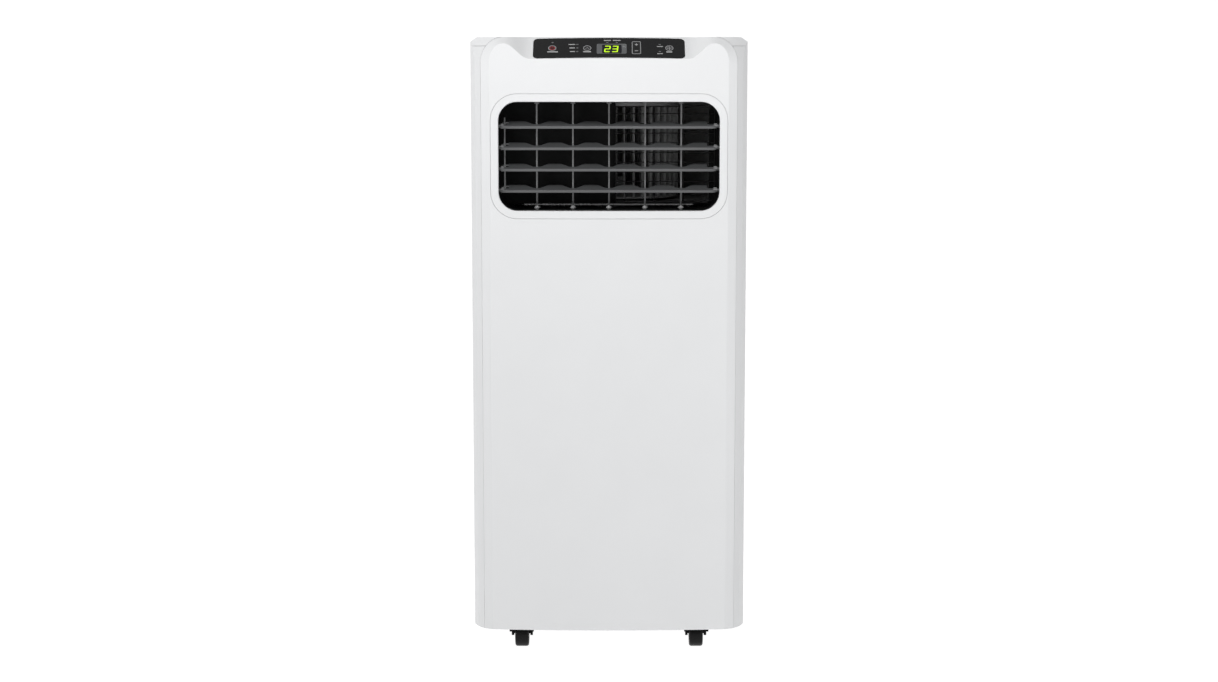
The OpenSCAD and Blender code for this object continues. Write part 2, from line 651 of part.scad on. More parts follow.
fan = [30, 190]; // x and z of the condenser fan's axis
fan_r = 70;
fan_y = [40, 88];
foam_wall = 2;
foam_y = [fan_y[0] - 5, fan_y[1] + 5];
scroll_r = [75, 97]; // inside radius where the scroll starts, and where it ends
mouth_x = 60; // right wall of the way up from the scroll
duct = [[-72, foam_y[0], 306], [72, collar_front - 0.5, 451]]; // the duct behind the collar
eye_r = 56; // the fan's inlet
motor_hole_r = 26;

function fan_spiral(grow) = [for (k = [0:16])
    let (a = 180 + 270 * k / 16, r = scroll_r[0] + (scroll_r[1] - scroll_r[0]) * k / 16 + grow)
    [fan[0] + r * cos(a), fan[1] + r * sin(a)]];
// The scroll's section with its way up into the duct
module fan_plan(grow, top) polygon(concat(fan_spiral(grow),
    [[mouth_x + grow, duct[0][2] - 6], [mouth_x + grow, top], [fan[0] - scroll_r[0] - grow, top]]));

module condenser_scroll() color("gainsboro") difference() {
    union() {
        along_y(foam_y[0], foam_y[1]) fan_plan(foam_wall, duct[0][2] + foam_wall);
        block(duct[0], duct[1]);
    }
    along_y(foam_y[0] + foam_wall, foam_y[1] - foam_wall) fan_plan(0, duct[0][2] + foam_wall + 1);
    block(duct[0] + foam_wall * [1, 1, 1], duct[1] - foam_wall * [1, 1, 1]);
    translate([fan[0], 0, fan[1]]) {
        rod_y(fan_y[1], fan_y[1] + 6, eye_r);
        rod_y(fan_y[0] - 6, fan_y[0], motor_hole_r);
    }
    translate([0, 0, exhaust_z]) rod_y(collar_front - 10, collar_front + 1, collar_hole);
}
module condenser_wheel() color("dimgray") translate([fan[0], fan_y[0] + 1, fan[1]]) rotate([-90, 0, 0])
    cage(fan_r, fan_y[1] - fan_y[0] - 2, 32, 12, shaft_r + shaft_play);
module condenser_motor() color("lightslategray") translate([fan[0], 0, fan[1]]) rotate([-90, 0, 0]) {
    translate([0, 0, -18]) motor_body(38, 48);
    translate([0, 0, 33]) cylinder(r = shaft_r, h = 27);
}

comp = [-78, -72]; // axis of the compressor
comp_z = pan_z + 12;
// Profiles of the compressor and its accumulator: radius and height
comp_shell = [[0, 6], [40, 6], [50, 12], [54, 24], [54, 168], [50, 184], [38, 196], [0, 200]];
accumulator = [2, -96];
accumulator_z = comp_z + 40;
accumulator_shell = [[0, 0], [14, 3], [21, 12], [21, 92], [14, 102], [0, 105]];
stub_x = 24; // discharge stub, from the compressor's axis
foot_r = 66; // tips of the three feet
foot_hole = foot_r - 9; // how far out the feet's holes are
foot_hole_r = 6.2;
pad_r = 9;
function foot_plate_r(a) = foot_r - 14 * pow(sin(1.5 * (a - 90)), 2);
module at_feet() for (a = [90:120:330]) rotate(a) translate([foot_hole, 0, 0]) children();

module compressor() color("black") {
    translate([comp[0], comp[1], comp_z]) {
        rotate_extrude() polygon(comp_shell);
        linear_extrude(3) difference() {
            polygon([for (a = [0:15:345]) foot_plate_r(a) * [cos(a), sin(a)]]);
            at_feet() circle(r = foot_hole_r);
        }
        cylinder(r = 38, h = 8);
        translate([0, 0, 199]) cylinder(r = 18, h = 14);
        translate([stub_x, 0, 186]) cylinder(r = 4, h = 16);
    }
    translate([accumulator[0], accumulator[1], accumulator_z]) rotate_extrude() polygon(accumulator_shell);
    // strap between the compressor and its accumulator
    block([-28, -92, comp_z + 96], [-15, -84, comp_z + 106]);
}
module compressor_grommets() color("darkslategray")
        translate([comp[0], comp[1], pan_z + pan_floor]) at_feet() {
    foot_z = comp_z - pan_z - pan_floor; // underside of the foot plate
    difference() {
        union() {
            cylinder(r = pad_r, h = foot_z - 0.1);
            cylinder(r = foot_hole_r - 0.2, h = foot_z + 7);
            translate([0, 0, foot_z + 3.1]) cylinder(r = pad_r, h = 3);
        }
        translate([0, 0, -1]) cylinder(r = 3, h = 30);
    }
    // bolt and nut
    cylinder(r = 2.9, h = foot_z + 10);
    translate([0, 0, foot_z + 6.2]) cylinder(r = 5.5, h = 3, $fn = 6);
}

// Return bends of both coils, and the pipes between the coils and the compressor
bend_pitch = 24;
bend_tube_r = 3.2;
module return_bends(side, y0, z0, count) for (i = [0:count - 1])
    translate([side * (coil_x + 0.2), y0, z0 + i * bend_pitch])
        rotate([0, side > 0 ? 90 : -90, 0]) rotate([90, 0, 0])
            rotate_extrude(angle = 180) translate([bend_pitch / 4, 0]) circle(r = bend_tube_r);
discharge = bent([[comp[0] + stub_x, comp[1], comp_z + 203], [comp[0] + stub_x, comp[1], 310],
    [-20, -30, 310], [-100, -10, 310], [-136, 40, 300], [-136, 112, 290], [-127, 112, 280]], 12);
suction = bent([[accumulator[0], accumulator[1], accumulator_z + 106], [accumulator[0], accumulator[1], 330],
    [accumulator[0] + 20, -60, 410], [120, -30, 420], [144, 10, 430], [144, 60, 480], [136, 112, 500],
    [127, 112, 500]], 12);
liquid = bent([[-127, 104, 76], [-138, 90, 80], [-144, 20, 100], [-145, 0, 200], [-145, 0, 430],
    [-145, 40, 465], [-138, 104, 476], [-127, 104, 476]], 9);
module copper_pipes() color("peru") {
    for (side = [-1, 1]) {
        raised = side > 0 ? bend_pitch : 0;
        return_bends(side, 106, 490 + raised, 7);
        return_bends(side, 108, 84 + raised, 8);
    }
    pipe(discharge, 3.6);
    pipe(suction, 4.6);
    pipe(liquid, 2.6, 8);
}

box_low = [34, -152, 250];
box_high = [140, -96, 400];
box_wall = 2;
module electrical_box() color("gainsboro") {
    difference() {
        block(box_low, box_high - [0, box_wall, 0]);
        block(box_low + box_wall * [1, 1, 1], box_high - [box_wall, 0, box_wall]);
    }
    // lid, capacitor, relay board and its relays
    block([box_low[0], box_high[1] - 1.8, box_low[2]], box_high);
    translate([62, -122, box_low[2] + box_wall]) cylinder(r = 17, h = 70);
    block([84, -148, 270], [134, -146, 380]);
    for (i = [0:4]) block([90 + 9 * i, -146, 290], [96 + 9 * i, -138, 312]);
}

// ---- Control panel ----

key_x = [-63, -24.2, 67];
key_s = 17.7;
key_r = 4.75;
rocker = [30.4, 18.4]; // x and s of the temperature key's middle
rocker_size = [10, 21.6];
window_at = [3, 17.1];
window_size = [33.3, 16.9];
digit_window = [3.2, 16.5];
digit_window_size = [21.6, 14.6];

// A slab that follows the bulge of the front, between lift l0 and l1 over the slope
module slope_slab(s0, s1, l0, l1) loft([for (i = [0:12]) let (x = (i / 6 - 1) * (dip_half - 1))
    [for (c = [[s0, l0], [s1, l0], [s1, l1], [s0, l1]])
        [x, face_y(x) + c[0] * cos(panel_slope) - c[1] * sin(panel_slope),
         dip_z + c[0] * sin(panel_slope) + c[1] * cos(panel_slope)]]]);

module key_shape(grow) circle(r = key_r + grow);
module rocker_shape(grow) polygon(rounded(rocker_size[0] + 2 * grow, rocker_size[1] + 2 * grow, 1.6 + grow));

module control_overlay() color([0.1, 0.1, 0.1]) difference() {
    intersection() {
        slope_slab(-2, 40, -2.2, 0.25);
        on_slope(0, overlay_s) above(-8, 8) overlay_shape(0);
    }
    for (x = key_x) on_slope(x, key_s) above(-8, 8) key_shape(0.2);
    on_slope(rocker[0], rocker[1]) above(-8, 8) rocker_shape(0.25);
    on_slope(window_at[0], window_at[1]) above(-8, 8)
        polygon(rounded(window_size[0] + 0.2, window_size[1] + 0.2, 2));
}

module display_window() color("dimgray") on_slope(window_at[0], window_at[1]) {
    difference() {
        above(-2, 0.22) polygon(rounded(window_size[0], window_size[1], 1.9));
        translate([digit_window[0] - window_at[0], digit_window[1] - window_at[1], 0]) above(-1, 1)
            square(digit_window_size, center = true);
    }
}

// Seven-segment figures: a stroke is [x and s of its middle, in parts of the figure's size, and its turn]
digit_h = 10.8;
digit_w = 6.6;
bar_w = 1.5;
figures = [[2, -1.9], [3, 6.7]]; // each figure and the x of its middle
function strokes(figure) =
    [[0, 1, 0], [1, 0.5, 90], [0, 0, 0], [0, -1, 0], [figure == 2 ? -1 : 1, -0.5, 90]];
module bar(length) {
    end = length / 2;
    shoulder = end - bar_w / 2;
    polygon([[-end, 0], [-shoulder, bar_w / 2], [shoulder, bar_w / 2],
        [end, 0], [shoulder, -bar_w / 2], [-shoulder, -bar_w / 2]]);
}
module figure_shape(figure) {
    w = digit_w - bar_w;
    h = (digit_h - bar_w) / 2;
    for (k = strokes(figure))
        translate([k[0] * w / 2, k[1] * h]) rotate(k[2]) bar((k[2] == 0 ? w : h) - 0.3);
}
module display_digits() color("greenyellow") for (f = figures)
    on_slope(window_at[0], digit_window[1]) translate([f[1] - window_at[0], 0, 0]) above(-1, -0.2)
        figure_shape(f[0]);

board_lift = -7; // the circuit board's upper face
module control_board() color("seagreen") {
    on_slope(0, overlay_s) above(board_lift - 1.6, board_lift) polygon(rounded(160, 30, 2));
    for (x = key_x) on_slope(x, key_s) above(board_lift, -4.6) square(5, center = true);
    on_slope(rocker[0], rocker[1]) {
        for (s = [-6.5, 6.5]) translate([0, s]) above(board_lift, -4.9) square(4, center = true);
        // posts under the temperature key's pivot
        for (x = [-6, 6]) translate([x, 0]) above(board_lift - 0.2, rocker_pin[1] - rocker_pin[2] - 0.1)
            square([1, 2.4], center = true);
    }
    on_slope(window_at[0], window_at[1]) above(board_lift - 0.2, -2.2) square([30, 15], center = true);
}

module round_key(i) color([0.14, 0.14, 0.14]) on_slope(key_x[i], key_s) {
    above(-3.2, 0.5) key_shape(0);
    above(-4, -3.1) circle(r = key_r + 1);
}
rocker_pin = [6.6, -3.1, 0.6]; // half length, lift and radius of the temperature key's pivot
module temperature_key() color([0.14, 0.14, 0.14]) on_slope(rocker[0], rocker[1]) {
    above(-3.2, 0.5) rocker_shape(0);
    above(-3.8, -3.1) square([7, 10], center = true);
    translate([0, 0, rocker_pin[1]]) rod_x(-rocker_pin[0], rocker_pin[0], rocker_pin[2]);
}

// ---- Casters ----

caster_at = [[-1, -119], [1, -119], [-1, 114], [1, 114]]; // side of the cabinet, and y of the swivel axis
plate_z = pan_z - 2.5;
stem_r = 5;
axle_r = 1.5;
cheek = [9.4, 12.2];
hood_half = 14;
hood_cut = 5.5; // height of the hood's level edge above the axle
hood_r = 19.4;

module at_caster(k) translate([caster_at[k][0] * caster_x, caster_at[k][1], 0]) children();
module at_wheel(k) at_caster(k) translate([0, -caster_trail, caster_radius]) children();

module plate_screws() for (x = [-15, 15], y = [-15, 15]) translate([x, y, 0]) children();

module caster_plates() color("silver") for (k = [0:3]) at_caster(k) difference() {
    union() {
        above(plate_z, pan_z - 0.02) polygon(rounded(40, 40, 5));
        translate([0, 0, plate_z - 2.4]) cylinder(r = 10, h = 3);
    }
    translate([0, 0, plate_z - 5]) cylinder(r = stem_r + 0.06, h = 12);
    plate_screws() translate([0, 0, plate_z - 1]) cylinder(r = 1.9, h = 5);
}

module caster_fork(k) color([0.12, 0.12, 0.12]) {
    at_caster(k) translate([0, 0, plate_z - 3]) cylinder(r = stem_r, h = 5);
    difference() {
        union() {
            at_caster(k) translate([0, 0, hood_r + 6]) cylinder(r = 11, h = plate_z - 8.6 - hood_r);
            at_wheel(k) hood();
        }
        at_wheel(k) rod_x(-cheek[0], cheek[0], hood_r - 2);
    }
    at_wheel(k) {
        for (x = [-cheek[1], cheek[0]]) along_x(x, x + cheek[1] - cheek[0]) {
            circle(r = 3.6);
            translate([-3.6, 0]) square([7.2, hood_r - 4]);
        }
        rod_x(-cheek[1], cheek[1], axle_r);
    }
}

// Cover over a wheel, cut level above the axle
module hood() difference() {
    rod_x(-hood_half, hood_half, hood_r);
    rod_x(-hood_half - 1, -cheek[1], hood_r - 2);
    rod_x(cheek[1], hood_half + 1, hood_r - 2);
    block([-hood_half - 1, -hood_r - 1, -hood_r - 1], [hood_half + 1, hood_r + 1, hood_cut]);
}

module caster_wheel(k) color([0.16, 0.16, 0.16]) at_wheel(k) rotate([0, 90, 0]) difference() {
    h = caster_tread / 2;
    rotate_extrude() polygon([[0, -h], [caster_radius - 2.4, -h], [caster_radius - 0.9, -h + 0.5],
        [caster_radius - 0.2, -h + 1.4], [caster_radius, -h + 2.8], [caster_radius, h - 2.8],
        [caster_radius - 0.2, h - 1.4], [caster_radius - 0.9, h - 0.5], [caster_radius - 2.4, h], [0, h]]);
    translate([0, 0, -h - 1]) cylinder(r = axle_r + 0.06, h = caster_tread + 2);
    for (s = [-1, 1]) translate([0, 0, s * h]) difference() {
        translate([0, 0, -1.5]) cylinder(r = 10.5, h = 3);
        translate([0, 0, -2]) cylinder(r = 5, h = 4);
    }
}

// ---- Fasteners ----

module screw(r, length) {
    difference() {
        translate([0, 0, 0.02]) cylinder(r1 = r * 2, r2 = r * 1.5, h = r * 1.1);
        for (a = [0, 90]) rotate(a) translate([-r, -0.4, r * 0.5]) cube([2 * r, 0.8, r]);
    }
    translate([0, 0, -length]) cylinder(r = r, h = length + r * 0.5);
}
module case_screws() color("silver") {
    at_collar_screws() translate([0, collar_flange[1], 0]) rotate([-90, 0, 0]) screw(1.6, 2.8);
    for (k = [0:3]) at_caster(k) plate_screws() translate([0, 0, plate_z]) rotate([180, 0, 0]) screw(1.7, 8);
    for (x = [-100, 100], z = [floor_z - 8, ceiling_z + 8])
        translate([x, frame_front + 16.1, z]) rotate([-90, 0, 0]) screw(1.5, 10);
}

front_panel();
outlet_bezel();
outlet_frame();
finger_guard();
left_side_panel();
right_side_panel();
rear_panel();
top_cover();
base_pan();
handle_cups();
exhaust_collar();
lower_intake_grille();
cord_inlet();
drain_spout();
control_overlay();
display_window();
display_digits();
control_board();
blower_scroll();
blower_motor();
evaporator();
drip_tray();
condenser();
condenser_scroll();
condenser_motor();
compressor();
compressor_grommets();
copper_pipes();
electrical_box();
case_screws();
caster_plates();
louvre(0);  // louvre_1
louvre(1);  // louvre_2
louvre(2);  // louvre_3
louvre(3);  // louvre_4
louvre_link();
blade(0);  // blade_1
blade(1);  // blade_2
blade(2);  // blade_3
blade(3);  // blade_4
blade(4);  // blade_5
blade_link();
blower_wheel();
condenser_wheel();
caster_fork(0);  // caster_fork_front_left
caster_fork(1);  // caster_fork_front_right
caster_fork(2);  // caster_fork_rear_left
caster_fork(3);  // caster_fork_rear_right
caster_wheel(0);  // caster_wheel_front_left
caster_wheel(1);  // caster_wheel_front_right
caster_wheel(2);  // caster_wheel_rear_left
caster_wheel(3);  // caster_wheel_rear_right
filter_grille();
air_filter();
drain_plug();
round_key(0);  // power_key
round_key(1);  // mode_key
temperature_key();
round_key(2);  // fan_key
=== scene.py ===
"""Looks for the portable air conditioner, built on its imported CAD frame.

Lengths are in millimetres in the CAD's frame, and become metres when a piece is made."""

import json
import math

import bmesh
import bpy
from mathutils import Matrix, Vector


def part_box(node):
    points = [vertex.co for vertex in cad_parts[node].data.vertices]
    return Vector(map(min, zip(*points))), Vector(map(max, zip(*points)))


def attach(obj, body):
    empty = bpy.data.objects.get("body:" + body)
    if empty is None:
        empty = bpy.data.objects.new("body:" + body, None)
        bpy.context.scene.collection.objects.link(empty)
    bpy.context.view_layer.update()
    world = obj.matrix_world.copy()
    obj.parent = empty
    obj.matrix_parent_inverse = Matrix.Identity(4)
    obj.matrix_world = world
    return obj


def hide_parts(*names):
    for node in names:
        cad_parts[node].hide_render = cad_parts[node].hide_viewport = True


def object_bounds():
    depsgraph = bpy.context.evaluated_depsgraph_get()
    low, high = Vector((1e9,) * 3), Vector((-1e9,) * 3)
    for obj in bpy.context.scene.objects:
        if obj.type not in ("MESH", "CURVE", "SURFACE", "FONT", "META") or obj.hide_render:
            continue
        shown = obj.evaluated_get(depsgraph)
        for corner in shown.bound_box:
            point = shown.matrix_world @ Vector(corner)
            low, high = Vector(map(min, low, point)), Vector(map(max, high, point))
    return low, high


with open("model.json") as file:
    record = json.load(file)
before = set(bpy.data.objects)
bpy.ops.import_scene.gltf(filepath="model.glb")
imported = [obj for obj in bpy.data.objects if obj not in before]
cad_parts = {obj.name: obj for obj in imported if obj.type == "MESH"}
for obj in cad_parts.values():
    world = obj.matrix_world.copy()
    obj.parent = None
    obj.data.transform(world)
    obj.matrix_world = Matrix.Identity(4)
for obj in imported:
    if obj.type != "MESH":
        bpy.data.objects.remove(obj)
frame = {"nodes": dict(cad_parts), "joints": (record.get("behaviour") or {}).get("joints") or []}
cad_low, cad_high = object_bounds()
MM = 0.001
JOINTS = {j["name"]: j for j in frame["joints"]}
NODES = frame["nodes"]


def low(node):
    """Lowest corner of a node's box."""
    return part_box(node)[0] / MM


def high(node):
    """Highest corner of a node's box."""
    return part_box(node)[1] / MM


def pivot(joint):
    """A point on a joint's axis."""
    return Vector(JOINTS[joint]["pos_m"]) / MM


# ---- Driving dimensions, as in the CAD ----

TOP = cad_high.z / MM
FRONT = cad_low.y / MM
BOTTOM = low("front_panel").z
WALL = 3.0
BULGE = 5.5
FACE_HALF = 133.0
BAND_HALF = high("front_panel").x
BAND_EDGE = BAND_HALF + 0.15
BAND_Y = FRONT + 10
DIP_HALF = 88.0
DIP_Z = TOP - 24
CREST_X = 117.0
CREST_Z = TOP - 7
SHOULDER_Z = TOP - 28
SLOPE = math.radians(40)
OUTLET_HALF = (123.2, 60.4)
OUTLET_Z = (low("outlet_bezel").z + high("outlet_bezel").z) / 2
OUTLET_RADIUS = 21.0
RING = high("outlet_bezel").x - OUTLET_HALF[0]
GAP = 0.3
OVERLAY_S = 18.9
OVERLAY_HALF = (84.0, 16.8)
OVERLAY_RADIUS = 5.0


def face_y(x):
    """Depth of the front face, which curves back towards its sides."""
    return FRONT + BULGE * (x / FACE_HALF) ** 2


def crest(x):
    """Height of the face's top edge."""
    t = (abs(x) - DIP_HALF) / (CREST_X - DIP_HALF)
    return DIP_Z + (CREST_Z - DIP_Z) * (1 - math.cos(math.pi * min(1, max(0, t)))) / 2


def slope_depth(z):
    """How far the control slope has come forward from its top, at height z."""
    return (TOP - z) / math.tan(SLOPE)


def slope_point(x, s, lift=0.0):
    """A point on the control slope: x across, s up the slope, lift out of it."""
    return Vector((
        x,
        face_y(x) + s * math.cos(SLOPE) - lift * math.sin(SLOPE),
        DIP_Z + s * math.sin(SLOPE) + lift * math.cos(SLOPE),
    ))


def span(a, b, n):
    """Values from a to b in n even steps."""
    return [a + (b - a) * i / n for i in range(n + 1)]


def turns(n):
    """Angles of n even steps round a circle."""
    return [2 * math.pi * k / n for k in range(n)]


def rounded(half_w, half_h, r, n=8, straight=1):
    """Points round a rectangle with rounded corners, counter-clockwise, its sides in straight parts."""
    points = []
    w, h = half_w - r, half_h - r
    corners = [(w, h, 0), (-w, h, 90), (-w, -h, 180), (w, -h, 270)]
    for i, (cx, cy, start) in enumerate(corners):
        for k in range(n + 1):
            a = math.radians(start + 90 * k / n)
            points.append((cx + r * math.cos(a), cy + r * math.sin(a)))
        nx, ny, nstart = corners[(i + 1) % 4]
        a = math.radians(nstart)
        there = (nx + r * math.cos(a), ny + r * math.sin(a))
        here = points[-1]
        for k in range(1, straight):
            t = k / straight
            points.append((here[0] + (there[0] - here[0]) * t, here[1] + (there[1] - here[1]) * t))
    return points


def grown(half, radius, by, n=6):
    """A rounded rectangle grown by a margin all round, or shrunk if it is negative."""
    return rounded(half[0] + by, half[1] + by, radius + by, n)


# ---- Making pieces ----

def make(name, bm, body, material, replaces=(), smooth=True):
    """Turns a bmesh in millimetres into a piece that rides on a body."""
    bmesh.ops.recalc_face_normals(bm, faces=bm.faces)
    bmesh.ops.scale(bm, vec=(MM, MM, MM), verts=bm.verts)
    mesh = bpy.data.meshes.new(name)
    bm.to_mesh(mesh)
    bm.free()
    mesh.polygons.foreach_set("use_smooth", [smooth] * len(mesh.polygons))
    mesh.materials.append(material)
    piece = bpy.data.objects.new(name, mesh)
    bpy.context.scene.collection.objects.link(piece)
    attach(piece, body)
    if replaces:
        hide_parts(*replaces)
    return piece


def loft(rings, bm=None, cap=True, loop=False):
    """Joins rings of points into a skin, with capped ends or closed on itself."""
    bm = bm or bmesh.new()
    made = [[bm.verts.new(p) for p in ring] for ring in rings]
    n = len(made[0])
    pairs = list(zip(made, made[1:]))
    if loop:
        pairs.append((made[-1], made[0]))
    for a, b in pairs:
        for k in range(n):
            after = (k + 1) % n
            bm.faces.new((a[k], a[after], b[after], b[k]))
    if cap and not loop:
        bm.faces.new(made[0][::-1])
        bm.faces.new(made[-1])
    return bm


def rod(a, b, r, n=12, bm=None, tip=0.0):
    """A straight rod from a to b, with its ends rounded by tip."""
    a, b = Vector(a), Vector(b)
    t = (b - a).normalized()
    u = t.orthogonal().normalized()
    v = t.cross(u)
    stops = [(a, r), (b, r)]
    if tip:
        stops = [(a, r - tip), (a + t * tip * 0.3, r - tip * 0.3), (a + t * tip, r)]
        stops += [(b - t * tip, r), (b - t * tip * 0.3, r - tip * 0.3), (b, r - tip)]
    rings = []
    for c, radius in stops:
        rings.append([c + radius * (math.cos(turn) * u + math.sin(turn) * v) for turn in turns(n)])
    return loft(rings, bm)


def prism(outline, place, z0, z1, bm=None):
    """Extrudes a flat outline between heights z0 and z1, where place(x, y, z) puts a point in the frame."""
    return loft([[place(x, y, z) for x, y in outline] for z in (z0, z1)], bm)


def cut(piece, cutter, operation="DIFFERENCE"):
    """Carves one mesh with another, and throws the cutter away."""
    modifier = piece.modifiers.new("carve", "BOOLEAN")
    modifier.object = cutter
    modifier.operation = operation
    modifier.solver = "EXACT"
    bpy.context.view_layer.update()
    graph = bpy.context.evaluated_depsgraph_get()
    mesh = bpy.data.meshes.new_from_object(piece.evaluated_get(graph))
    piece.modifiers.clear()
    piece.data = mesh
    bpy.data.objects.remove(cutter)


def tool(bm):
    """A cutter for cut()."""
    bmesh.ops.recalc_face_normals(bm, faces=bm.faces)
    bmesh.ops.scale(bm, vec=(MM, MM, MM), verts=bm.verts)
    mesh = bpy.data.meshes.new("cutter")
    bm.to_mesh(mesh)
    bm.free()
    piece = bpy.data.objects.new("cutter", mesh)
    bpy.context.scene.collection.objects.link(piece)
    return piece


def bevel_edges(piece, width, angle, segments):
    """Rounds the edges of a piece that are sharper than an angle."""
    bevel = piece.modifiers.new("soften", "BEVEL")
    bevel.width = width * MM
    bevel.segments = segments
    bevel.limit_method = "ANGLE"
    bevel.angle_limit = math.radians(angle)
    bevel.use_clamp_overlap = True


def soften(piece, width, angle=30, segments=2, weld=False):
    """Rounds a piece's edges a little and evens its shading."""
    if weld:
        piece.modifiers.new("weld", "WELD").merge_threshold = 0.00001
    bevel_edges(piece, width, angle, segments)
    normals = piece.modifiers.new("shade", "WEIGHTED_NORMAL")
    normals.keep_sharp = False
    normals.weight = 60


def finish_cad(node, material, width=0.3, angle=30):
    """Gives a carried-over CAD node its material and soft edges."""
    piece = NODES[node]
    piece.data.materials.clear()
    piece.data.materials.append(material)
    piece.data.polygons.foreach_set("use_smooth", [True] * len(piece.data.polygons))
    piece.data.polygons.foreach_set("material_index", [0] * len(piece.data.polygons))
    if width:
        soften(piece, width, angle, weld=True)


# ---- Materials ----

class Nodes:
    """A small helper for a material's node tree."""

    def __init__(self, name):
        self.material = bpy.data.materials.new(name)
        self.material.use_nodes = True
        self.tree = self.material.node_tree
        self.shader = self.tree.nodes["Principled BSDF"]
        self.place = self.add("ShaderNodeTexCoord").outputs["Object"]

    def add(self, kind, **values):
        node = self.tree.nodes.new(kind)
        for key, value in values.items():
            if key in node.inputs:
                node.inputs[key].default_value = value
            else:
                setattr(node, key, value)
        return node

    def link(self, a, b):
        self.tree.links.new(a, b)

    def set(self, **values):
        for key, value in values.items():
            self.shader.inputs[key.replace("_", " ")].default_value = value

    def noise(self, per_mm, detail=3.0, stretch=None):
        """Noise with so many blobs to the millimetre, stretched along an axis if asked."""
        node = self.add("ShaderNodeTexNoise", Scale=per_mm / MM, Detail=detail)
        source = self.place
        if stretch:
            mapping = self.add("ShaderNodeMapping")
            mapping.inputs["Scale"].default_value = stretch
            self.link(self.place, mapping.inputs["Vector"])
            source = mapping.outputs["Vector"]
        self.link(source, node.inputs["Vector"])
        return node.outputs["Fac"]

    def between(self, factor, low_value, high_value, low_at=0.3, high_at=0.7):
        """A value that follows the factor between two limits."""
        node = self.add("ShaderNodeMapRange")
        limits = {"From Min": low_at, "From Max": high_at, "To Min": low_value, "To Max": high_value}
        for key, value in limits.items():
            node.inputs[key].default_value = value
        self.link(factor, node.inputs["Value"])
        return node.outputs["Result"]

    def colours(self, factor, stops):
        """A colour that follows the factor through the stops."""
        ramp = self.add("ShaderNodeValToRGB").color_ramp
        while len(ramp.elements) < len(stops):
            ramp.elements.new(0.5)
        for element, (at, colour) in zip(ramp.elements, stops):
            element.position = at
            element.color = (*colour, 1)
        self.link(factor, self.tree.nodes[-1].inputs["Fac"])
        return self.tree.nodes[-1].outputs["Color"]

    def bump(self, height, depth_mm, strength=1.0, normal=None):
        """Raised and sunk surface detail, on top of an earlier normal if given."""
        node = self.add("ShaderNodeBump", Strength=strength, Distance=depth_mm * MM)
        self.link(height, node.inputs["Height"])
        if normal:
            self.link(normal, node.inputs["Normal"])
        return node.outputs["Normal"]


def shade(colour, factor):
    """A colour made lighter or darker."""
    return tuple(c * factor for c in colour)


def plastic(name, colour, rough=0.4, grain=3.0, depth=0.01, vary=0.03, rough_vary=0.06, dust_and_shade=0.0, **shader):
    """Moulded plastic: a fine grain, faint colour and gloss variation, and, if asked, a speckled dust colour
    in its occluded corners and creases, which is painted shade where it darkens the plastic and dust where
    it lightens it.
    """
    n = Nodes(name)
    cloud = n.noise(0.02, 4.0)
    base = n.colours(cloud, [(0.3, shade(colour, 1 - vary)), (0.7, shade(colour, 1 + vary))])
    if dust_and_shade:
        # ambient occlusion puts the speckled dust colour where shade falls: on the white case this darkening
        # is painted shade, on the dark pan it is dust
        occlusion = n.add("ShaderNodeAmbientOcclusion", Distance=0.012, samples=4)
        speck = n.noise(0.4, 5.0)
        dust_and_shade_mask = n.add("ShaderNodeMath", operation="MULTIPLY")
        n.link(n.between(occlusion.outputs["AO"], 1, 0, 0.35, 0.95), dust_and_shade_mask.inputs[0])
        n.link(n.between(speck, 0, dust_and_shade, 0.35, 0.75), dust_and_shade_mask.inputs[1])
        mix = n.add("ShaderNodeMix", data_type="RGBA")
        n.link(dust_and_shade_mask.outputs[0], mix.inputs["Factor"])
        n.link(base, mix.inputs[6])
        mix.inputs[7].default_value = (0.35, 0.33, 0.30, 1)
        base = mix.outputs[2]
    n.link(base, n.shader.inputs["Base Color"])
    smear = n.noise(0.05, 5.0)
    n.link(n.between(smear, rough - rough_vary, rough + rough_vary), n.shader.inputs["Roughness"])
    n.link(n.bump(n.noise(grain, 2.0), depth), n.shader.inputs["Normal"])
    n.set(**shader)
    return n.material


def metal(name, colour, rough=0.35, stretch=None, scale=1.2, depth=0.01, stain=0.0, **shader):
    """Bare metal with fine drawn or rolled lines, and a dull stain if asked."""
    n = Nodes(name)
    streak = n.noise(scale, 4.0, stretch)
    blotch = n.noise(0.06, 5.0)
    base = n.colours(blotch, [(0.35, shade(colour, 1 - stain)), (0.65, colour)])
    n.link(base, n.shader.inputs["Base Color"])
    n.link(n.between(streak, rough - 0.1, rough + 0.12), n.shader.inputs["Roughness"])
    n.link(n.bump(streak, depth), n.shader.inputs["Normal"])
    n.set(Metallic=1.0, **shader)
    return n.material


def print_ink(name, colour, rough=0.45, glow=0.0):
    """Ink or a lit mark on the control panel, with a faint screen pattern."""
    n = Nodes(name)
    speck = n.noise(4.0, 2.0)
    n.link(n.colours(speck, [(0.3, shade(colour, 0.9)), (0.7, colour)]), n.shader.inputs["Base Color"])
    n.link(n.between(speck, rough - 0.05, rough + 0.05), n.shader.inputs["Roughness"])
    if glow:
        n.shader.inputs["Emission Color"].default_value = (*colour, 1)
        n.shader.inputs["Emission Strength"].default_value = glow
    return n.material


# In metres, as the object coordinates are: where the scroll's front plate ends and its air path begins.
PLATE_Y = -0.0952
AIR_PATH_Y = -0.0940


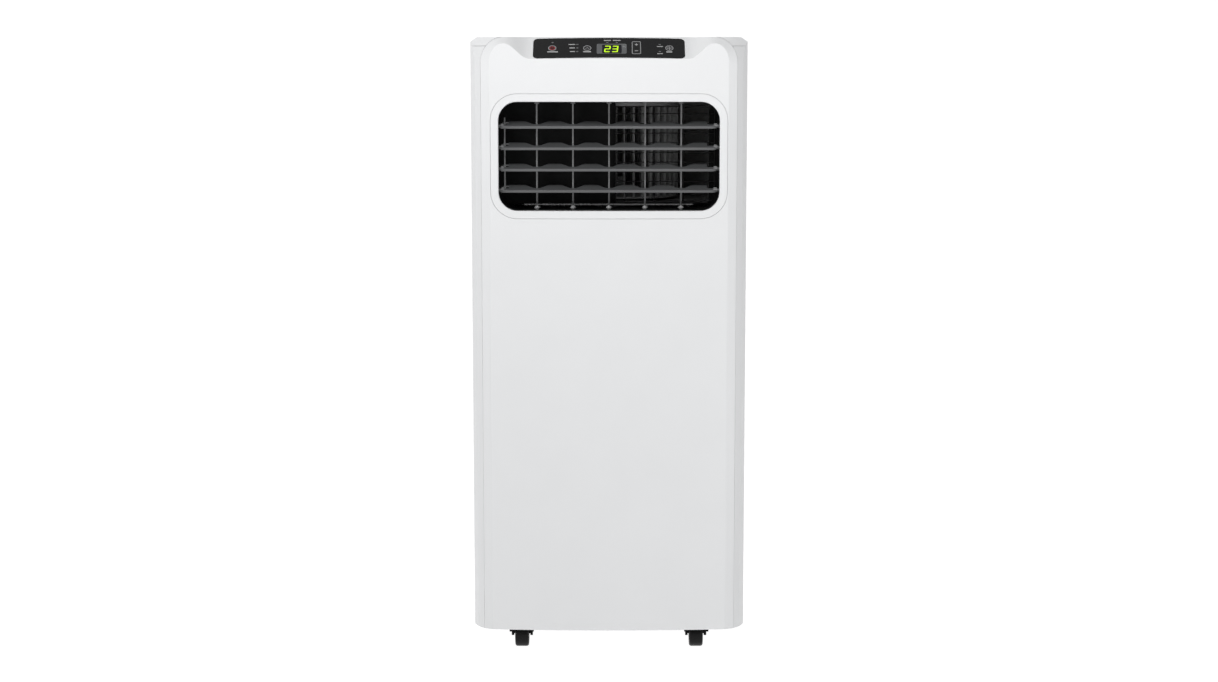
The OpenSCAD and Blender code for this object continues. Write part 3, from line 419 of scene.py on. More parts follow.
def scroll_with_painted_shade():
    """The blower scroll: near-black on its front plate, which is painted shade, and a lighter grey in the
    air path behind its front plate.
    """
    n = Nodes("scroll_painted_shade")
    split = n.add("ShaderNodeSeparateXYZ")
    n.link(n.place, split.inputs[0])
    depth = n.between(split.outputs["Y"], 0, 1, PLATE_Y, AIR_PATH_Y)
    # the near-black of the front plate is painted shade; behind it the air path is a lighter grey
    base = n.colours(depth, [(0, (0.003, 0.003, 0.0032)), (1, (0.30, 0.30, 0.30))])
    n.link(base, n.shader.inputs["Base Color"])
    n.link(n.between(n.noise(0.05, 5.0), 0.55, 0.70), n.shader.inputs["Roughness"])
    n.link(n.bump(n.noise(1.2, 2.0), 0.03), n.shader.inputs["Normal"])
    n.shader.inputs["Specular IOR Level"].default_value = 0.2
    return n.material


def woven(name, colour):
    """The air filter's woven mesh: crossed threads with fluff on them."""
    n = Nodes(name)
    waves = []
    for axis in ("X", "Z"):
        wave = n.add("ShaderNodeTexWave", Scale=0.35 / MM, bands_direction=axis)
        n.link(n.place, wave.inputs["Vector"])
        waves.append(wave.outputs["Fac"])
    weave = n.add("ShaderNodeMath", operation="MAXIMUM")
    n.link(waves[0], weave.inputs[0])
    n.link(waves[1], weave.inputs[1])
    thread = n.colours(weave.outputs[0], [(0.2, shade(colour, 0.35)), (0.8, colour)])
    n.link(thread, n.shader.inputs["Base Color"])
    n.link(n.between(n.noise(0.1, 5.0), 0.65, 0.9), n.shader.inputs["Roughness"])
    n.link(n.bump(weave.outputs[0], 0.3), n.shader.inputs["Normal"])
    return n.material


# the white case: its speckled darkening in occluded corners is painted shade as well as dust
CASE = plastic("case_white", (0.740, 0.746, 0.754), rough=0.42, grain=2.2, depth=0.006, vary=0.008, dust_and_shade=0.1)
DUCT = plastic("duct_black", (0.004, 0.004, 0.0042), rough=0.5, grain=1.8, depth=0.02, vary=0.15)
SCROLL_PAINTED_SHADE = scroll_with_painted_shade()
GUARD = plastic("guard_black", (0.003, 0.003, 0.003), rough=0.45, grain=1.0, depth=0.01, vary=0.2)
# The outlet's louvres and blades are one grey plastic, made here in lit and shaded copies: the vane grey is
# darker as painted shade, and the blade, lug and tie greys are lighter as painted light.
LOUVRE = plastic("louvre_grey", (0.100, 0.102, 0.105), rough=0.38, grain=3.0, depth=0.01, vary=0.05)
VANE_PAINTED_SHADE = plastic("vane_grey_painted_shade", (0.080, 0.082, 0.084), rough=0.42, grain=3.0, depth=0.01, vary=0.05)
BLADE_PAINTED_LIGHT = plastic("blade_grey_painted_light", (0.21, 0.212, 0.215), rough=0.42, grain=3.0, depth=0.01, vary=0.05)
LUG_PAINTED_LIGHT = plastic("lug_grey_painted_light", (0.28, 0.282, 0.285), rough=0.42, grain=3.0, depth=0.01, vary=0.05)
TIE_PAINTED_LIGHT = plastic("tie_grey_painted_light", (0.60, 0.602, 0.605), rough=0.42, grain=3.0, depth=0.01, vary=0.05)
# the blower and condenser wheels in a grey lightened as painted light, standing in for light reaching the
# blower wheel through the outlet
DRUM_PAINTED_LIGHT = plastic("drum_grey_painted_light", (0.36, 0.365, 0.365), rough=0.45, grain=1.5, depth=0.02, vary=0.12)
OVERLAY = plastic("overlay_black", (0.013, 0.013, 0.0135), 0.16, 0.9, 0.002, 0.05, rough_vary=0.03)
KEY = plastic("key_black", (0.014, 0.014, 0.015), rough=0.28, grain=2.5, depth=0.006, vary=0.08)
ROCKER_BLACK = plastic("rocker_black", (0.006, 0.006, 0.006), rough=0.34, grain=2.5, depth=0.006, vary=0.08)
CASTER = plastic("caster_black", (0.003, 0.003, 0.003), 0.5, 1.4, 0.03, 0.2, Specular_IOR_Level=0.12)
TREAD = plastic("caster_tread", (0.004, 0.004, 0.0042), 0.45, 1.0, 0.03, 0.25, Specular_IOR_Level=0.15)
PAN = plastic("pan_grey", (0.05, 0.05, 0.052), rough=0.6, grain=0.8, depth=0.05, vary=0.12, dust_and_shade=0.3)
TRAY = plastic("tray_grey", (0.42, 0.43, 0.44), rough=0.55, grain=1.0, depth=0.04, vary=0.05)
FOAM = plastic("scroll_foam", (0.62, 0.63, 0.64), rough=0.6, grain=0.5, depth=0.08, vary=0.04)
RUBBER = plastic("rubber_black", (0.012, 0.012, 0.012), rough=0.72, grain=1.5, depth=0.04, vary=0.3)
FILTER = woven("filter_mesh", (0.05, 0.05, 0.055))
SPOUT = plastic("spout_grey", (0.20, 0.20, 0.205), rough=0.5, grain=1.5, depth=0.02)
ENAMEL = plastic("compressor_enamel", (0.010, 0.010, 0.010), rough=0.25, grain=0.25, depth=0.08, vary=0.2)
BOARD = plastic("circuit_board", (0.02, 0.14, 0.05), rough=0.3, grain=0.6, depth=0.03, vary=0.3)
FINS = metal("fin_aluminium", (0.80, 0.81, 0.82), rough=0.32, stretch=(1, 1, 0.05), scale=0.8, stain=0.12)
COPPER = metal("copper", (0.78, 0.36, 0.20), rough=0.30, scale=0.3, depth=0.02, stain=0.45)
MOTOR = metal("motor_steel", (0.50, 0.50, 0.51), rough=0.42, stretch=(1, 1, 0.1), scale=0.6, stain=0.2)
ZINC = metal("zinc_steel", (0.62, 0.63, 0.63), rough=0.38, scale=0.15, depth=0.03, stain=0.25)
SCREW = metal("screw_steel", (0.66, 0.66, 0.66), rough=0.25, scale=1.5, stain=0.15)
INK = print_ink("label_ink", (0.42, 0.42, 0.425))
RING_INK = print_ink("ring_ink", (0.30, 0.30, 0.305))
LAMP = print_ink("unlit_lamp", (0.14, 0.14, 0.145), rough=0.25)
RED_INK = print_ink("power_ink", (0.30, 0.008, 0.012))
WINDOW = plastic("display_window", (0.112, 0.115, 0.119), rough=0.22, grain=1.1, depth=0.02, vary=0.06)
DIGIT_BED = plastic("display_bed", (0.012, 0.012, 0.016), rough=0.2, grain=1.0, depth=0.002, vary=0.1)
DIGITS = print_ink("lit_digits", (0.50, 0.80, 0.015), rough=0.3, glow=0.55)


# ---- Front panel ----

def front_shell():
    """The face, the band round it and the slope above it, in one skin of even thickness."""
    corner_steps = 14
    inner, outer = [], []
    for x in span(0, DIP_HALF, 18)[:-1] + span(DIP_HALF, CREST_X, 16):
        inner.append((x, crest(x)))
        outer.append((x, face_y(x) + slope_depth(crest(x)), TOP))
    for i in range(1, corner_steps + 1):
        a = math.radians(90 * i / corner_steps)
        x = CREST_X + (FACE_HALF - CREST_X) * math.sin(a)
        end = BAND_Y - face_y(FACE_HALF)
        depth = slope_depth(CREST_Z) + (end - slope_depth(CREST_Z)) * i / corner_steps
        inner.append((x, SHOULDER_Z + (CREST_Z - SHOULDER_Z) * math.cos(a)))
        outer.append((
            CREST_X + (BAND_EDGE - CREST_X) * math.sin(a),
            face_y(x) + depth,
            SHOULDER_Z + (TOP - SHOULDER_Z) * math.cos(a),
        ))
    inner = [(-x, z) for x, z in inner[:0:-1]] + inner
    outer = [(-x, y, z) for x, y, z in outer[:0:-1]] + outer
    split = OUTLET_Z + OUTLET_HALF[1] + RING + 4
    bm = bmesh.new()
    rows = [(0, t) for t in span(0, 1, 8)] + [(1, t) for t in span(0, 1, 4)[1:]]
    grid = []
    for x, z_top in inner:
        column = []
        for part, t in rows:
            z = split + (z_top - split) * t if part else BOTTOM + (split - BOTTOM) * t
            column.append(bm.verts.new((x, face_y(x), z)))
        grid.append(column)
    for a, b in zip(grid, grid[1:]):
        for k in range(len(rows) - 1):
            bm.faces.new((a[k], b[k], b[k + 1], a[k + 1]))
    legs = []
    for side, column in ((-1, grid[0]), (1, grid[-1])):
        legs.append([bm.verts.new((side * BAND_EDGE, BAND_Y, v.co.z)) for v in column[:-1]])
    edge = [bm.verts.new(p) for p in outer]
    for a, b, c, d in zip(grid, grid[1:], edge, edge[1:]):
        bm.faces.new((a[-1], b[-1], d, c))
    for column, leg, top in ((grid[0], legs[0], edge[0]), (grid[-1], legs[1], edge[-1])):
        leg = leg + [top]
        for k in range(len(column) - 1):
            bm.faces.new((column[k], column[k + 1], leg[k + 1], leg[k]))
    skin = list(bm.faces)
    back = bmesh.ops.duplicate(bm, geom=skin)
    back_verts = [v for v in back["geom"] if isinstance(v, bmesh.types.BMVert)]
    bmesh.ops.translate(bm, verts=back_verts, vec=(0, WALL, 0))
    pairs = back["vert_map"]
    for e in [e for f in skin for e in f.edges if len(e.link_faces) == 1]:
        a, b = e.verts
        bm.faces.new((a, b, pairs[b], pairs[a]))
    panel = make("front_shell", bm, "cabinet", CASE, ["front_panel"])
    hole = [(x, OUTLET_Z + z) for x, z in grown(OUTLET_HALF, OUTLET_RADIUS, RING + GAP, 16)]
    cut(panel, tool(prism(hole, lambda x, z, y: (x, y, z), FRONT - 5, FRONT + 20)))
    recess = grown(OVERLAY_HALF, OVERLAY_RADIUS, GAP)
    cut(panel, tool(prism(recess, overlay_place, -8, 8)))
    soften(panel, 0.4, 14, 3)


def overlay_place(x, s, lift):
    """Places a straight-sided cutter or plate on the slope, round the overlay's middle."""
    return slope_point(0, s + OVERLAY_S, lift) + Vector((x, 0, 0))


def bezel():
    """The ring round the outlet: flat with the face, with a rounded inner lip."""
    lip = 1.3
    flange = RING + GAP - 0.02
    profile = [(flange, WALL), (flange, 2.2), (RING, 2.2), (RING, 0.2), (RING - 0.2, 0), (lip, 0)]
    for k in range(1, 7):
        a = math.radians(90 * k / 6)
        profile.append((lip * (1 - math.sin(a)), lip * (1 - math.cos(a))))
    profile += [(0, WALL)]
    rings = []
    for grow, depth in profile:
        path = rounded(OUTLET_HALF[0] + grow, OUTLET_HALF[1] + grow, OUTLET_RADIUS + grow, 16, 24)
        rings.append([(x, face_y(x) + depth, OUTLET_Z + z) for x, z in path])
    ring = make("outlet_ring", loft(rings, loop=True), "cabinet", CASE, ["outlet_bezel"])
    shade_by_angle(ring, 40)


def shade_by_angle(piece, angle):
    """Smooth shading with crisp edges above an angle."""
    piece.data.set_sharp_from_angle(angle=math.radians(angle))


front_shell()
bezel()


# ---- Louvres and blades ----

LOUVRE_HALF = 121.0
LOUVRE_FRONT = 5.0
LOUVRE_CHORD = 19.5
NOTCH_S = 9.7
BODY_X = (-112.5, 110.0)
BLADE_X = [pivot(f"blade_{i}_turn").x for i in range(1, 6)]
LINK_ARM = 10.5
TILT = math.radians(18)
LINK_X = -117.0


def louvre_rear(x):
    """How far behind its front edge a louvre reaches at x: it narrows to a smooth notch at each blade."""
    nearest = min(abs(x - b) for b in BLADE_X)
    t = min(1, max(0, (nearest - 3) / 11))
    t = 0.6 * t * t * (3 - 2 * t) + 0.4 * t
    return NOTCH_S + (LOUVRE_CHORD - NOTCH_S) * t


def louvre(i):
    """One tilting louvre: its vane, its front bar and its pivot lugs."""
    axis = pivot(f"louvre_{i}_tilt")
    turn = Matrix.Rotation(TILT, 3, "X")

    def at(x, s, lift):
        return axis + turn @ Vector((x, s - LOUVRE_FRONT, lift))

    # the thin vane, in the darker vane grey that is painted shade
    edge = ((1.5, 0.75), (-0.5, 0.75), (0, 0.35), (0, -0.35), (-0.5, -0.75), (1.5, -0.75))
    rings = []
    for x in span(*BODY_X, 178):
        rear = louvre_rear(x)
        rings.append([at(x, s if abs(s) > 1 else rear + s, lift) for s, lift in edge])
    vane = make(f"louvre_{i}_vane", loft(rings), f"louvre_{i}", VANE_PAINTED_SHADE, [f"louvre_{i}"])
    shade_by_angle(vane, 35)
    # the front bar: flat in front with rounded edges, tapered at its right end
    bm = bmesh.new()
    section = rounded(1.6, 1.5, 0.45, 4)
    stops = [(-LOUVRE_HALF, 0.86), (-LOUVRE_HALF + 0.5, 1.0), (LOUVRE_HALF - 5, 1.0)]
    stops += [(LOUVRE_HALF - 2.5, 0.82), (LOUVRE_HALF - 0.8, 0.5), (LOUVRE_HALF, 0.3)]
    loft([[at(x, 1.6 + s * k, lift * k) for s, lift in section] for x, k in stops], bm)
    # pins at both ends
    for x in (-LOUVRE_HALF - 4.4, LOUVRE_HALF - 2):
        rod(axis + Vector((x, 0, 0)), axis + Vector((x + 6.4, 0, 0)), 1.95, 16, bm, 0.3)
    left = BODY_X[0] + 1
    prism([(-LOUVRE_HALF, 4.0), (left, 4.0), (left, 8.3), (-LOUVRE_HALF + 2, 8.3)], at, -0.7, 0.7, bm)
    right = BODY_X[1] - 1
    prism([(right, 1.5), (LOUVRE_HALF - 1, 1.5), (LOUVRE_HALF - 2, 8.3), (right, 8.3)], at, -0.7, 0.7, bm)
    pin_s = LOUVRE_FRONT + LINK_ARM
    rod(at(LINK_X - 2.4, pin_s, 0), at(BODY_X[0] + 2, pin_s, 0), 1.0, 12, bm, 0.2)
    bar = make(f"louvre_{i}_bar", bm, f"louvre_{i}", LOUVRE)
    shade_by_angle(bar, 35)
    # lugs over the pins, in a lighter grey that is painted light
    bm = bmesh.new()
    for x0, x1 in ((-LOUVRE_HALF, -LOUVRE_HALF + 3.4), (LOUVRE_HALF - 4.2, LOUVRE_HALF)):
        prism([(x0, 2.0), (x1, 2.0), (x1 - 0.6, 7.6), (x0 + 0.6, 7.6)], at, 0.7, 2.3, bm)
    lugs = make(f"louvre_{i}_lugs", bm, f"louvre_{i}", LUG_PAINTED_LIGHT)
    shade_by_angle(lugs, 35)


def turned_rings(at, stops, n=20):
    """Rings round an upright axis, one for each height and radius."""
    return [[at(r * math.cos(a), r * math.sin(a), z) for a in turns(n)] for z, r in stops]


def blade(i):
    """One upright blade, with the knob at its foot."""
    x, y, _ = pivot(f"blade_{i}_turn")
    z0, z1 = low(f"blade_{i}").z, high(f"blade_{i}").z
    floor_z, ceiling_z = OUTLET_Z - OUTLET_HALF[1], OUTLET_Z + OUTLET_HALF[1]

    def at(u, v, z):
        return Vector((x + u, y + v, z))

    # the vane, flat in front, in a lighter blade grey that is painted light
    section = [(0.7, -6.4), (0.85, -6.2), (0.9, 0), (0.75, 6), (0.5, 17.3), (-0.5, 17.3)]
    section += [(-0.75, 6), (-0.9, 0), (-0.85, -6.2), (-0.7, -6.4)]
    bm = bmesh.new()
    foot = floor_z + 9.5
    levels = [(foot, 0.5), (foot + 0.6, 1.0), (ceiling_z - 3.4, 1.0), (ceiling_z - 2.8, 0.6)]
    loft([[at(u * k, v, z) for u, v in section] for z, k in levels], bm)
    neck_z = floor_z + 4.3
    loft(turned_rings(at, [(neck_z, 1.0), (foot + 3, 1.0)]), bm)
    # the upper pin, with a small disc under the duct's ceiling
    disc = [(ceiling_z - 4.0, 0.9), (ceiling_z - 2.8, 1.0), (ceiling_z - 2.6, 2.7), (ceiling_z - 1.3, 2.7)]
    disc += [(ceiling_z - 1.1, 1.95), (z1 - 0.3, 1.95), (z1, 1.6)]
    loft(turned_rings(at, disc), bm)
    # the crank pin that carries the link
    rod(at(0, 9, floor_z + 3.6), at(0, 9, floor_z + 11.6), 1.0, 12, bm, 0.2)
    prism([(-0.5, 6.5), (0.5, 6.5), (0.5, 11.5), (-0.5, 11.5)], at, foot - 0.5, foot + 3.5, bm)
    piece = make(f"blade_{i}_shaped", bm, f"blade_{i}", BLADE_PAINTED_LIGHT, [f"blade_{i}"])
    shade_by_angle(piece, 35)
    # the round knob of the lower pin, on the duct's floor, in the light tie grey that is painted light
    knob = [(z0, 1.6), (z0 + 0.35, 1.95), (floor_z + 0.2, 1.95), (floor_z + 0.4, 2.3), (floor_z + 1.3, 2.5)]
    knob += [(floor_z + 1.5, 3.3), (floor_z + 2.4, 3.3), (floor_z + 2.6, 2.5), (floor_z + 3.5, 2.0)]
    knob.append((neck_z, 1.0))
    foot_knob = make(f"blade_{i}_knob", loft(turned_rings(at, knob)), f"blade_{i}", TIE_PAINTED_LIGHT)
    shade_by_angle(foot_knob, 35)


def links():
    """The slim bars that tie the louvres and the blades, in lightened greys that are painted light."""
    a, b = low("louvre_link"), high("louvre_link")
    x, y = (a.x + b.x) / 2, (a.y + b.y) / 2
    bm = bmesh.new()
    loft([[Vector((x + u, y + v, z)) for u, v in rounded(0.75, 2.6, 0.3, 3)] for z in (a.z, b.z)], bm)
    upright = make("louvre_tie", bm, "louvre_link", BLADE_PAINTED_LIGHT, ["louvre_link"])
    shade_by_angle(upright, 35)
    a, b = low("blade_link"), high("blade_link")
    y, z = (a.y + b.y) / 2, a.z + 0.6
    bm = bmesh.new()
    loft([[Vector((x, y + v, z + w)) for v, w in rounded(2.4, 0.7, 0.2, 3)] for x in (a.x, b.x)], bm)
    level = make("blade_tie", bm, "blade_link", TIE_PAINTED_LIGHT, ["blade_link"])
    shade_by_angle(level, 35)


for number in range(1, 5):
    louvre(number)
for number in range(1, 6):
    blade(number)
links()


GUARD_FIRST_Z = 526
GUARD_PITCH = 11
GUARD_UPRIGHTS = (18.5, 51.5, 84.5)


def guard():
    """Round wires in place of the guard's square ones."""
    a, b = low("finger_guard"), high("finger_guard")
    y = (a.y + b.y) / 2
    bm = bmesh.new()
    for i in range(9):
        z = GUARD_FIRST_Z + GUARD_PITCH * i
        rod((a.x, y - 0.1, z), (b.x, y - 0.1, z), 0.6, 8, bm)
    for x in (a.x + 0.7, *GUARD_UPRIGHTS, b.x - 0.7):
        rod((x, y + 0.1, a.z), (x, y + 0.1, b.z), 0.65, 8, bm)
    for z in (a.z + 0.8, b.z - 0.8):
        rod((a.x, y, z), (b.x, y, z), 0.7, 8, bm)
    piece = make("guard_wires", bm, "cabinet", GUARD, ["finger_guard"])
    shade_by_angle(piece, 50)


guard()


# ---- Control panel ----

KEY_X = {"power_key": -63.0, "mode_key": -24.2, "fan_key": 67.0}
KEY_S = 17.7
KEY_R = 4.75
ROCKER = (30.4, 18.4)
ROCKER_HALF = (5.0, 10.8)
ROCKER_RADIUS = 1.6
ROCKER_PLAY = 0.25
WINDOW_AT = (3.0, 17.1)
WINDOW_HALF = (16.65, 8.45)
WINDOW_RADIUS = 1.9
WINDOW_PLAY = 0.1
DIGITS_AT = (3.2, 16.5)
# Each lit figure with the middle it stands on.
FIGURES = ((2, -1.7), (3, 6.9))
FIGURE_W = 6.6
FIGURE_H = 10.8
STROKE = 1.35
SLANT = 0.09
PRINT_LIFT = 0.27
RING_LIFT = 0.53
SIGN_LIFT = 0.56
SIGN_THICK = 0.1


def on_slope(cx, cs):
    """Placement of flat shapes round a point of the slope."""
    def place(x, s, lift):
        return slope_point(cx, cs + s, lift) + Vector((x, 0, 0))
    return place


def on_curve(cx, cs):
    """Placement of prints round a point of the slope, bent to its curve."""
    def place(x, s, lift):
        return slope_point(cx + x, cs + s, lift)
    return place


def overlay():
    """The glossy dark overlay: a thin slab that follows the front's curve, with rounded corners."""
    section = ((-2, -2.2), (40, -2.2), (40, 0.25), (-2, 0.25))
    rings = [[slope_point(x, s, lift) for s, lift in section] for x in span(-86, 86, 86)]
    slab = make("control_plate", loft(rings), "cabinet", OVERLAY, ["control_overlay"])
    cut(slab, tool(prism(rounded(*OVERLAY_HALF, OVERLAY_RADIUS, 10), overlay_place, -8, 8)), "INTERSECT")
    for x in KEY_X.values():
        cut(slab, tool(prism(circle(KEY_R + 0.2, 48), on_slope(x, KEY_S), -8, 8)))
    cut(slab, tool(prism(grown(ROCKER_HALF, ROCKER_RADIUS, ROCKER_PLAY), on_slope(*ROCKER), -8, 8)))
    cut(slab, tool(prism(grown(WINDOW_HALF, WINDOW_RADIUS, WINDOW_PLAY), on_slope(*WINDOW_AT), -8, 8)))
    slab.data.polygons.foreach_set("use_smooth", [False] * len(slab.data.polygons))
    bevel_edges(slab, 0.3, 40, 2)


def flat(name, outlines, place, material, body="cabinet", lift=PRINT_LIFT, thick=0.08):
    """Thin raised prints, one prism for each outline."""
    bm = bmesh.new()
    for outline in outlines:
        prism(outline, place, lift - thick, lift, bm)
    return make(name, bm, body, material, smooth=False)


def moved(outline, dx, ds):
    """An outline shifted across and up the slope."""
    return [(x + dx, s + ds) for x, s in outline]


def bar_at(cx, cs, w, h):
    """A small bar with rounded ends."""
    return moved(rounded(w / 2, h / 2, min(w, h) * 0.3, 3), cx, cs)


def ring_of(outline_out, outline_in, place, bm, lift, thick=0.08):
    """A closed outline with width, as a print."""
    foot = lift - thick
    edges = ((outline_out, foot), (outline_out, lift), (outline_in, lift), (outline_in, foot))
    loft([[place(x, s, height) for x, s in outline] for outline, height in edges], bm, loop=True)


def circle(r, n=32, sx=1.0, sy=1.0):
    """Points round a circle, or round an ellipse."""
    return [(r * sx * math.cos(a), r * sy * math.sin(a)) for a in turns(n)]


def arc_band(r0, r1, start, end, n=14):
    """A curved stroke between two angles in degrees."""
    angles = [math.radians(a) for a in span(start, end, n)]
    outer = [(r1 * math.cos(a), r1 * math.sin(a)) for a in angles]
    inner = [(r0 * math.cos(a), r0 * math.sin(a)) for a in angles]
    return outer + inner[::-1]


def spun(outline, angle):
    """An outline turned by an angle in degrees."""
    a = math.radians(angle)
    return [(x * math.cos(a) - s * math.sin(a), x * math.sin(a) + s * math.cos(a)) for x, s in outline]


def keys():
    """Caps of the three round keys, each with a printed ring."""
    for node, x in KEY_X.items():
        place = on_slope(x, KEY_S)
        bm = bmesh.new()
        turned = [(-4.0, KEY_R + 1), (-3.1, KEY_R + 1), (-3.1, KEY_R), (0.2, KEY_R)]
        turned += [(0.42, KEY_R - 0.12), (0.5, KEY_R - 0.4), (0.44, KEY_R * 0.5)]
        loft([[place(px, ps, z) for px, ps in circle(r, 40)] for z, r in turned], bm)
        cap = make(f"{node}_cap", bm, node, KEY, [node])
        shade_by_angle(cap, 35)
        bm = bmesh.new()
        ring_of(circle(4.5, 48), circle(3.6, 48), place, bm, RING_LIFT, SIGN_THICK)
        make(f"{node}_ring", bm, node, RING_INK, smooth=False)


def rocker():
    """The temperature key, with its printed ring, plus and minus."""
    place = on_slope(*ROCKER)
    rings = []
    for lift, inset in ((-3.2, 0), (0.25, 0), (0.45, 0.15), (0.5, 0.45)):
        outline = rounded(ROCKER_HALF[0] - inset, ROCKER_HALF[1] - inset, ROCKER_RADIUS - inset * 0.5, 6)
        rings.append([place(x, s, lift) for x, s in outline])
    bm = loft(rings)
    prism([(-3.5, -5), (3.5, -5), (3.5, 5), (-3.5, 5)], place, -3.8, -3.0, bm)
    cap = make("temperature_key_cap", bm, "temperature_key", ROCKER_BLACK, ["temperature_key"])
    shade_by_angle(cap, 35)
    bm = bmesh.new()
    outer, inner = rounded(*ROCKER_HALF, ROCKER_RADIUS, 6), rounded(4.2, 9.9, 1.0, 6)
    ring_of(outer, inner, place, bm, RING_LIFT, SIGN_THICK)
    make("temperature_key_ring", bm, "temperature_key", RING_INK, smooth=False)
    marks = [bar_at(0, 5.4, 0.8, 4.0), bar_at(-1.1, 5.4, 1.4, 0.9), bar_at(1.1, 5.4, 1.4, 0.9)]
    marks.append(bar_at(0, -5.3, 4.2, 0.9))
    flat("temperature_key_marks", marks, place, INK, "temperature_key", SIGN_LIFT, SIGN_THICK)


def prints():
    """Plain bars in place of words, lamps, and the signs on the keys."""
    labels = [(-62.5, 11.6, 11.8, 1.8), (-41.4, 24.3, 7.5, 1.4), (-40.9, 18.3, 6.3, 1.4)]
    labels += [(-40.6, 12.1, 5.7, 1.4), (-24.3, 11.8, 9.0, 1.8)]
    labels += [(-1.8, 31.2, 8.0, 1.4), (8.5, 31.2, 8.6, 1.4)]
    labels += [(56.5, 20.8, 6.8, 1.2), (56.5, 8.4, 6.3, 1.2), (66.8, 11.4, 6.8, 1.8)]
    for number, (x, s, w, h) in enumerate(labels):
        flat(f"label_bar_{number}", [bar_at(0, 0, w, h)], on_curve(x, s), INK)
    lamps = [(-62.8, 27.5), (-35.2, 24.3), (-35.2, 18.3), (-35.2, 12.1)]
    lamps += [(-1.9, 27.6), (8.6, 27.6), (56.3, 24.3), (56.4, 12.1)]
    for number, (x, s) in enumerate(lamps):
        flat(f"lamp_{number}", [circle(1, 20, 1.3, 0.9)], on_curve(x, s), LAMP)
    power = [arc_band(2.2, 3.1, 125, 415, 24), bar_at(0, 1.7, 0.9, 3.2)]
    mode = [[(-2.2, -1.5), (0, 1.9), (2.2, -1.5), (1.5, -1.5), (0, 0.9), (-1.5, -1.5)]]
    petal = [(0.6, -0.1), (1.6, -0.7), (2.9, -0.2), (2.6, 0.9), (1.3, 0.6)]
    fan = [circle(0.55, 16)] + [spun(petal, angle) for angle in (0, 90, 180, 270)]
    for name, outlines, ink in (("power", power, RED_INK), ("mode", mode, RING_INK), ("fan", fan, RING_INK)):
        place = on_slope(KEY_X[f"{name}_key"], KEY_S)
        flat(f"{name}_sign", outlines, place, ink, f"{name}_key", SIGN_LIFT, SIGN_THICK)


def display():
    """The smoked window and its two lit figures."""
    place = on_slope(*WINDOW_AT)
    rings = []
    for lift, inset in ((-2, 0), (0.12, 0), (0.22, 0.12)):
        outline = rounded(WINDOW_HALF[0] - inset, WINDOW_HALF[1] - inset, WINDOW_RADIUS, 6)
        rings.append([place(x, s, lift) for x, s in outline])
    window = make("display_glass", loft(rings), "cabinet", WINDOW, ["display_window"])
    shade_by_angle(window, 35)
    bed = on_slope(*DIGITS_AT)
    bm = prism(rounded(10.8, 7.3, 0.8, 4), bed, 0.15, 0.26)
    make("display_bed", bm, "cabinet", DIGIT_BED, smooth=False)
    bm = bmesh.new()
    place = on_slope(WINDOW_AT[0], DIGITS_AT[1])
    for figure, centre in FIGURES:
        for x, s, along in digit_strokes(figure, FIGURE_W - STROKE, (FIGURE_H - STROKE) / 2):
            length = (FIGURE_W - STROKE) / 2 if along else (FIGURE_H - STROKE) / 4
            length += STROKE * 0.32
            size = (length, STROKE / 2) if along else (STROKE / 2, length)
            outline = moved(rounded(*size, STROKE * 0.42, 4), x + centre - WINDOW_AT[0], s)
            prism([(px + SLANT * ps, ps) for px, ps in outline], place, 0.2, 0.33, bm)
    make("display_figures", bm, "cabinet", DIGITS, ["display_digits"], smooth=False)
    unit = [arc_band(0.9, 1.35, 30, 180, 8), bar_at(1.5, -0.3, 1.2, 0.5)]
    flat("display_unit", unit, on_slope(16.6, 19.4), INK, lift=0.5)


def digit_strokes(figure, w, h):
    """Middle and direction of each lit stroke of a seven-stroke figure."""
    strokes = [(0, h, True), (w / 2, h / 2, False), (0, 0, True), (0, -h, True)]
    strokes.append((-w / 2, -h / 2, False) if figure == 2 else (w / 2, -h / 2, False))
    return strokes


overlay()
keys()
rocker()
prints()
display()
finish_cad("control_board", BOARD, 0.2)


# ---- Casters ----

def caster_wheel(corner):
    """A crowned wheel with a hollow web and ribs on both sides."""
    node = f"caster_wheel_{corner}"
    centre = pivot(f"caster_roll_{corner}")
    half = (high(node).x - low(node).x) / 2
    r = (high(node).z - low(node).z) / 2

    def at(h, radius, angle):
        return centre + Vector((h, radius * math.cos(angle), radius * math.sin(angle)))

    profile = [(-half, 1.7), (-half, 4.6), (-1.6, 5.0), (-1.6, 10.6), (-half, 11.4), (-half, r - 2.4)]
    profile += [(-half + 0.3, r - 1.3), (-half + 0.9, r - 0.6), (-half + 1.7, r - 0.2), (-half + 2.8, r)]
    profile += [(-h, radius) for h, radius in profile[::-1]]
    bm = loft([[at(h, radius, a) for a in turns(56)] for h, radius in profile], loop=True)
    rib = ((4.4, -0.6), (11.2, -0.6), (11.2, 0.6), (4.4, 0.6))
    for a in turns(6):
        across = Vector((0, -math.sin(a), math.cos(a)))
        for side in (-1, 1):
            ends = (1.4 * side, (half - 0.8) * side)
            loft([[at(h, radius, a) + across * t for radius, t in rib] for h in ends], bm)
    piece = make(f"{node}_tread", bm, node, TREAD, [node])
    shade_by_angle(piece, 35)


for corner_name in ("front_left", "front_right", "rear_left", "rear_right"):
    caster_wheel(corner_name)
    finish_cad(f"caster_fork_{corner_name}", CASTER, 0.5)


# ---- Carried-over CAD nodes ----

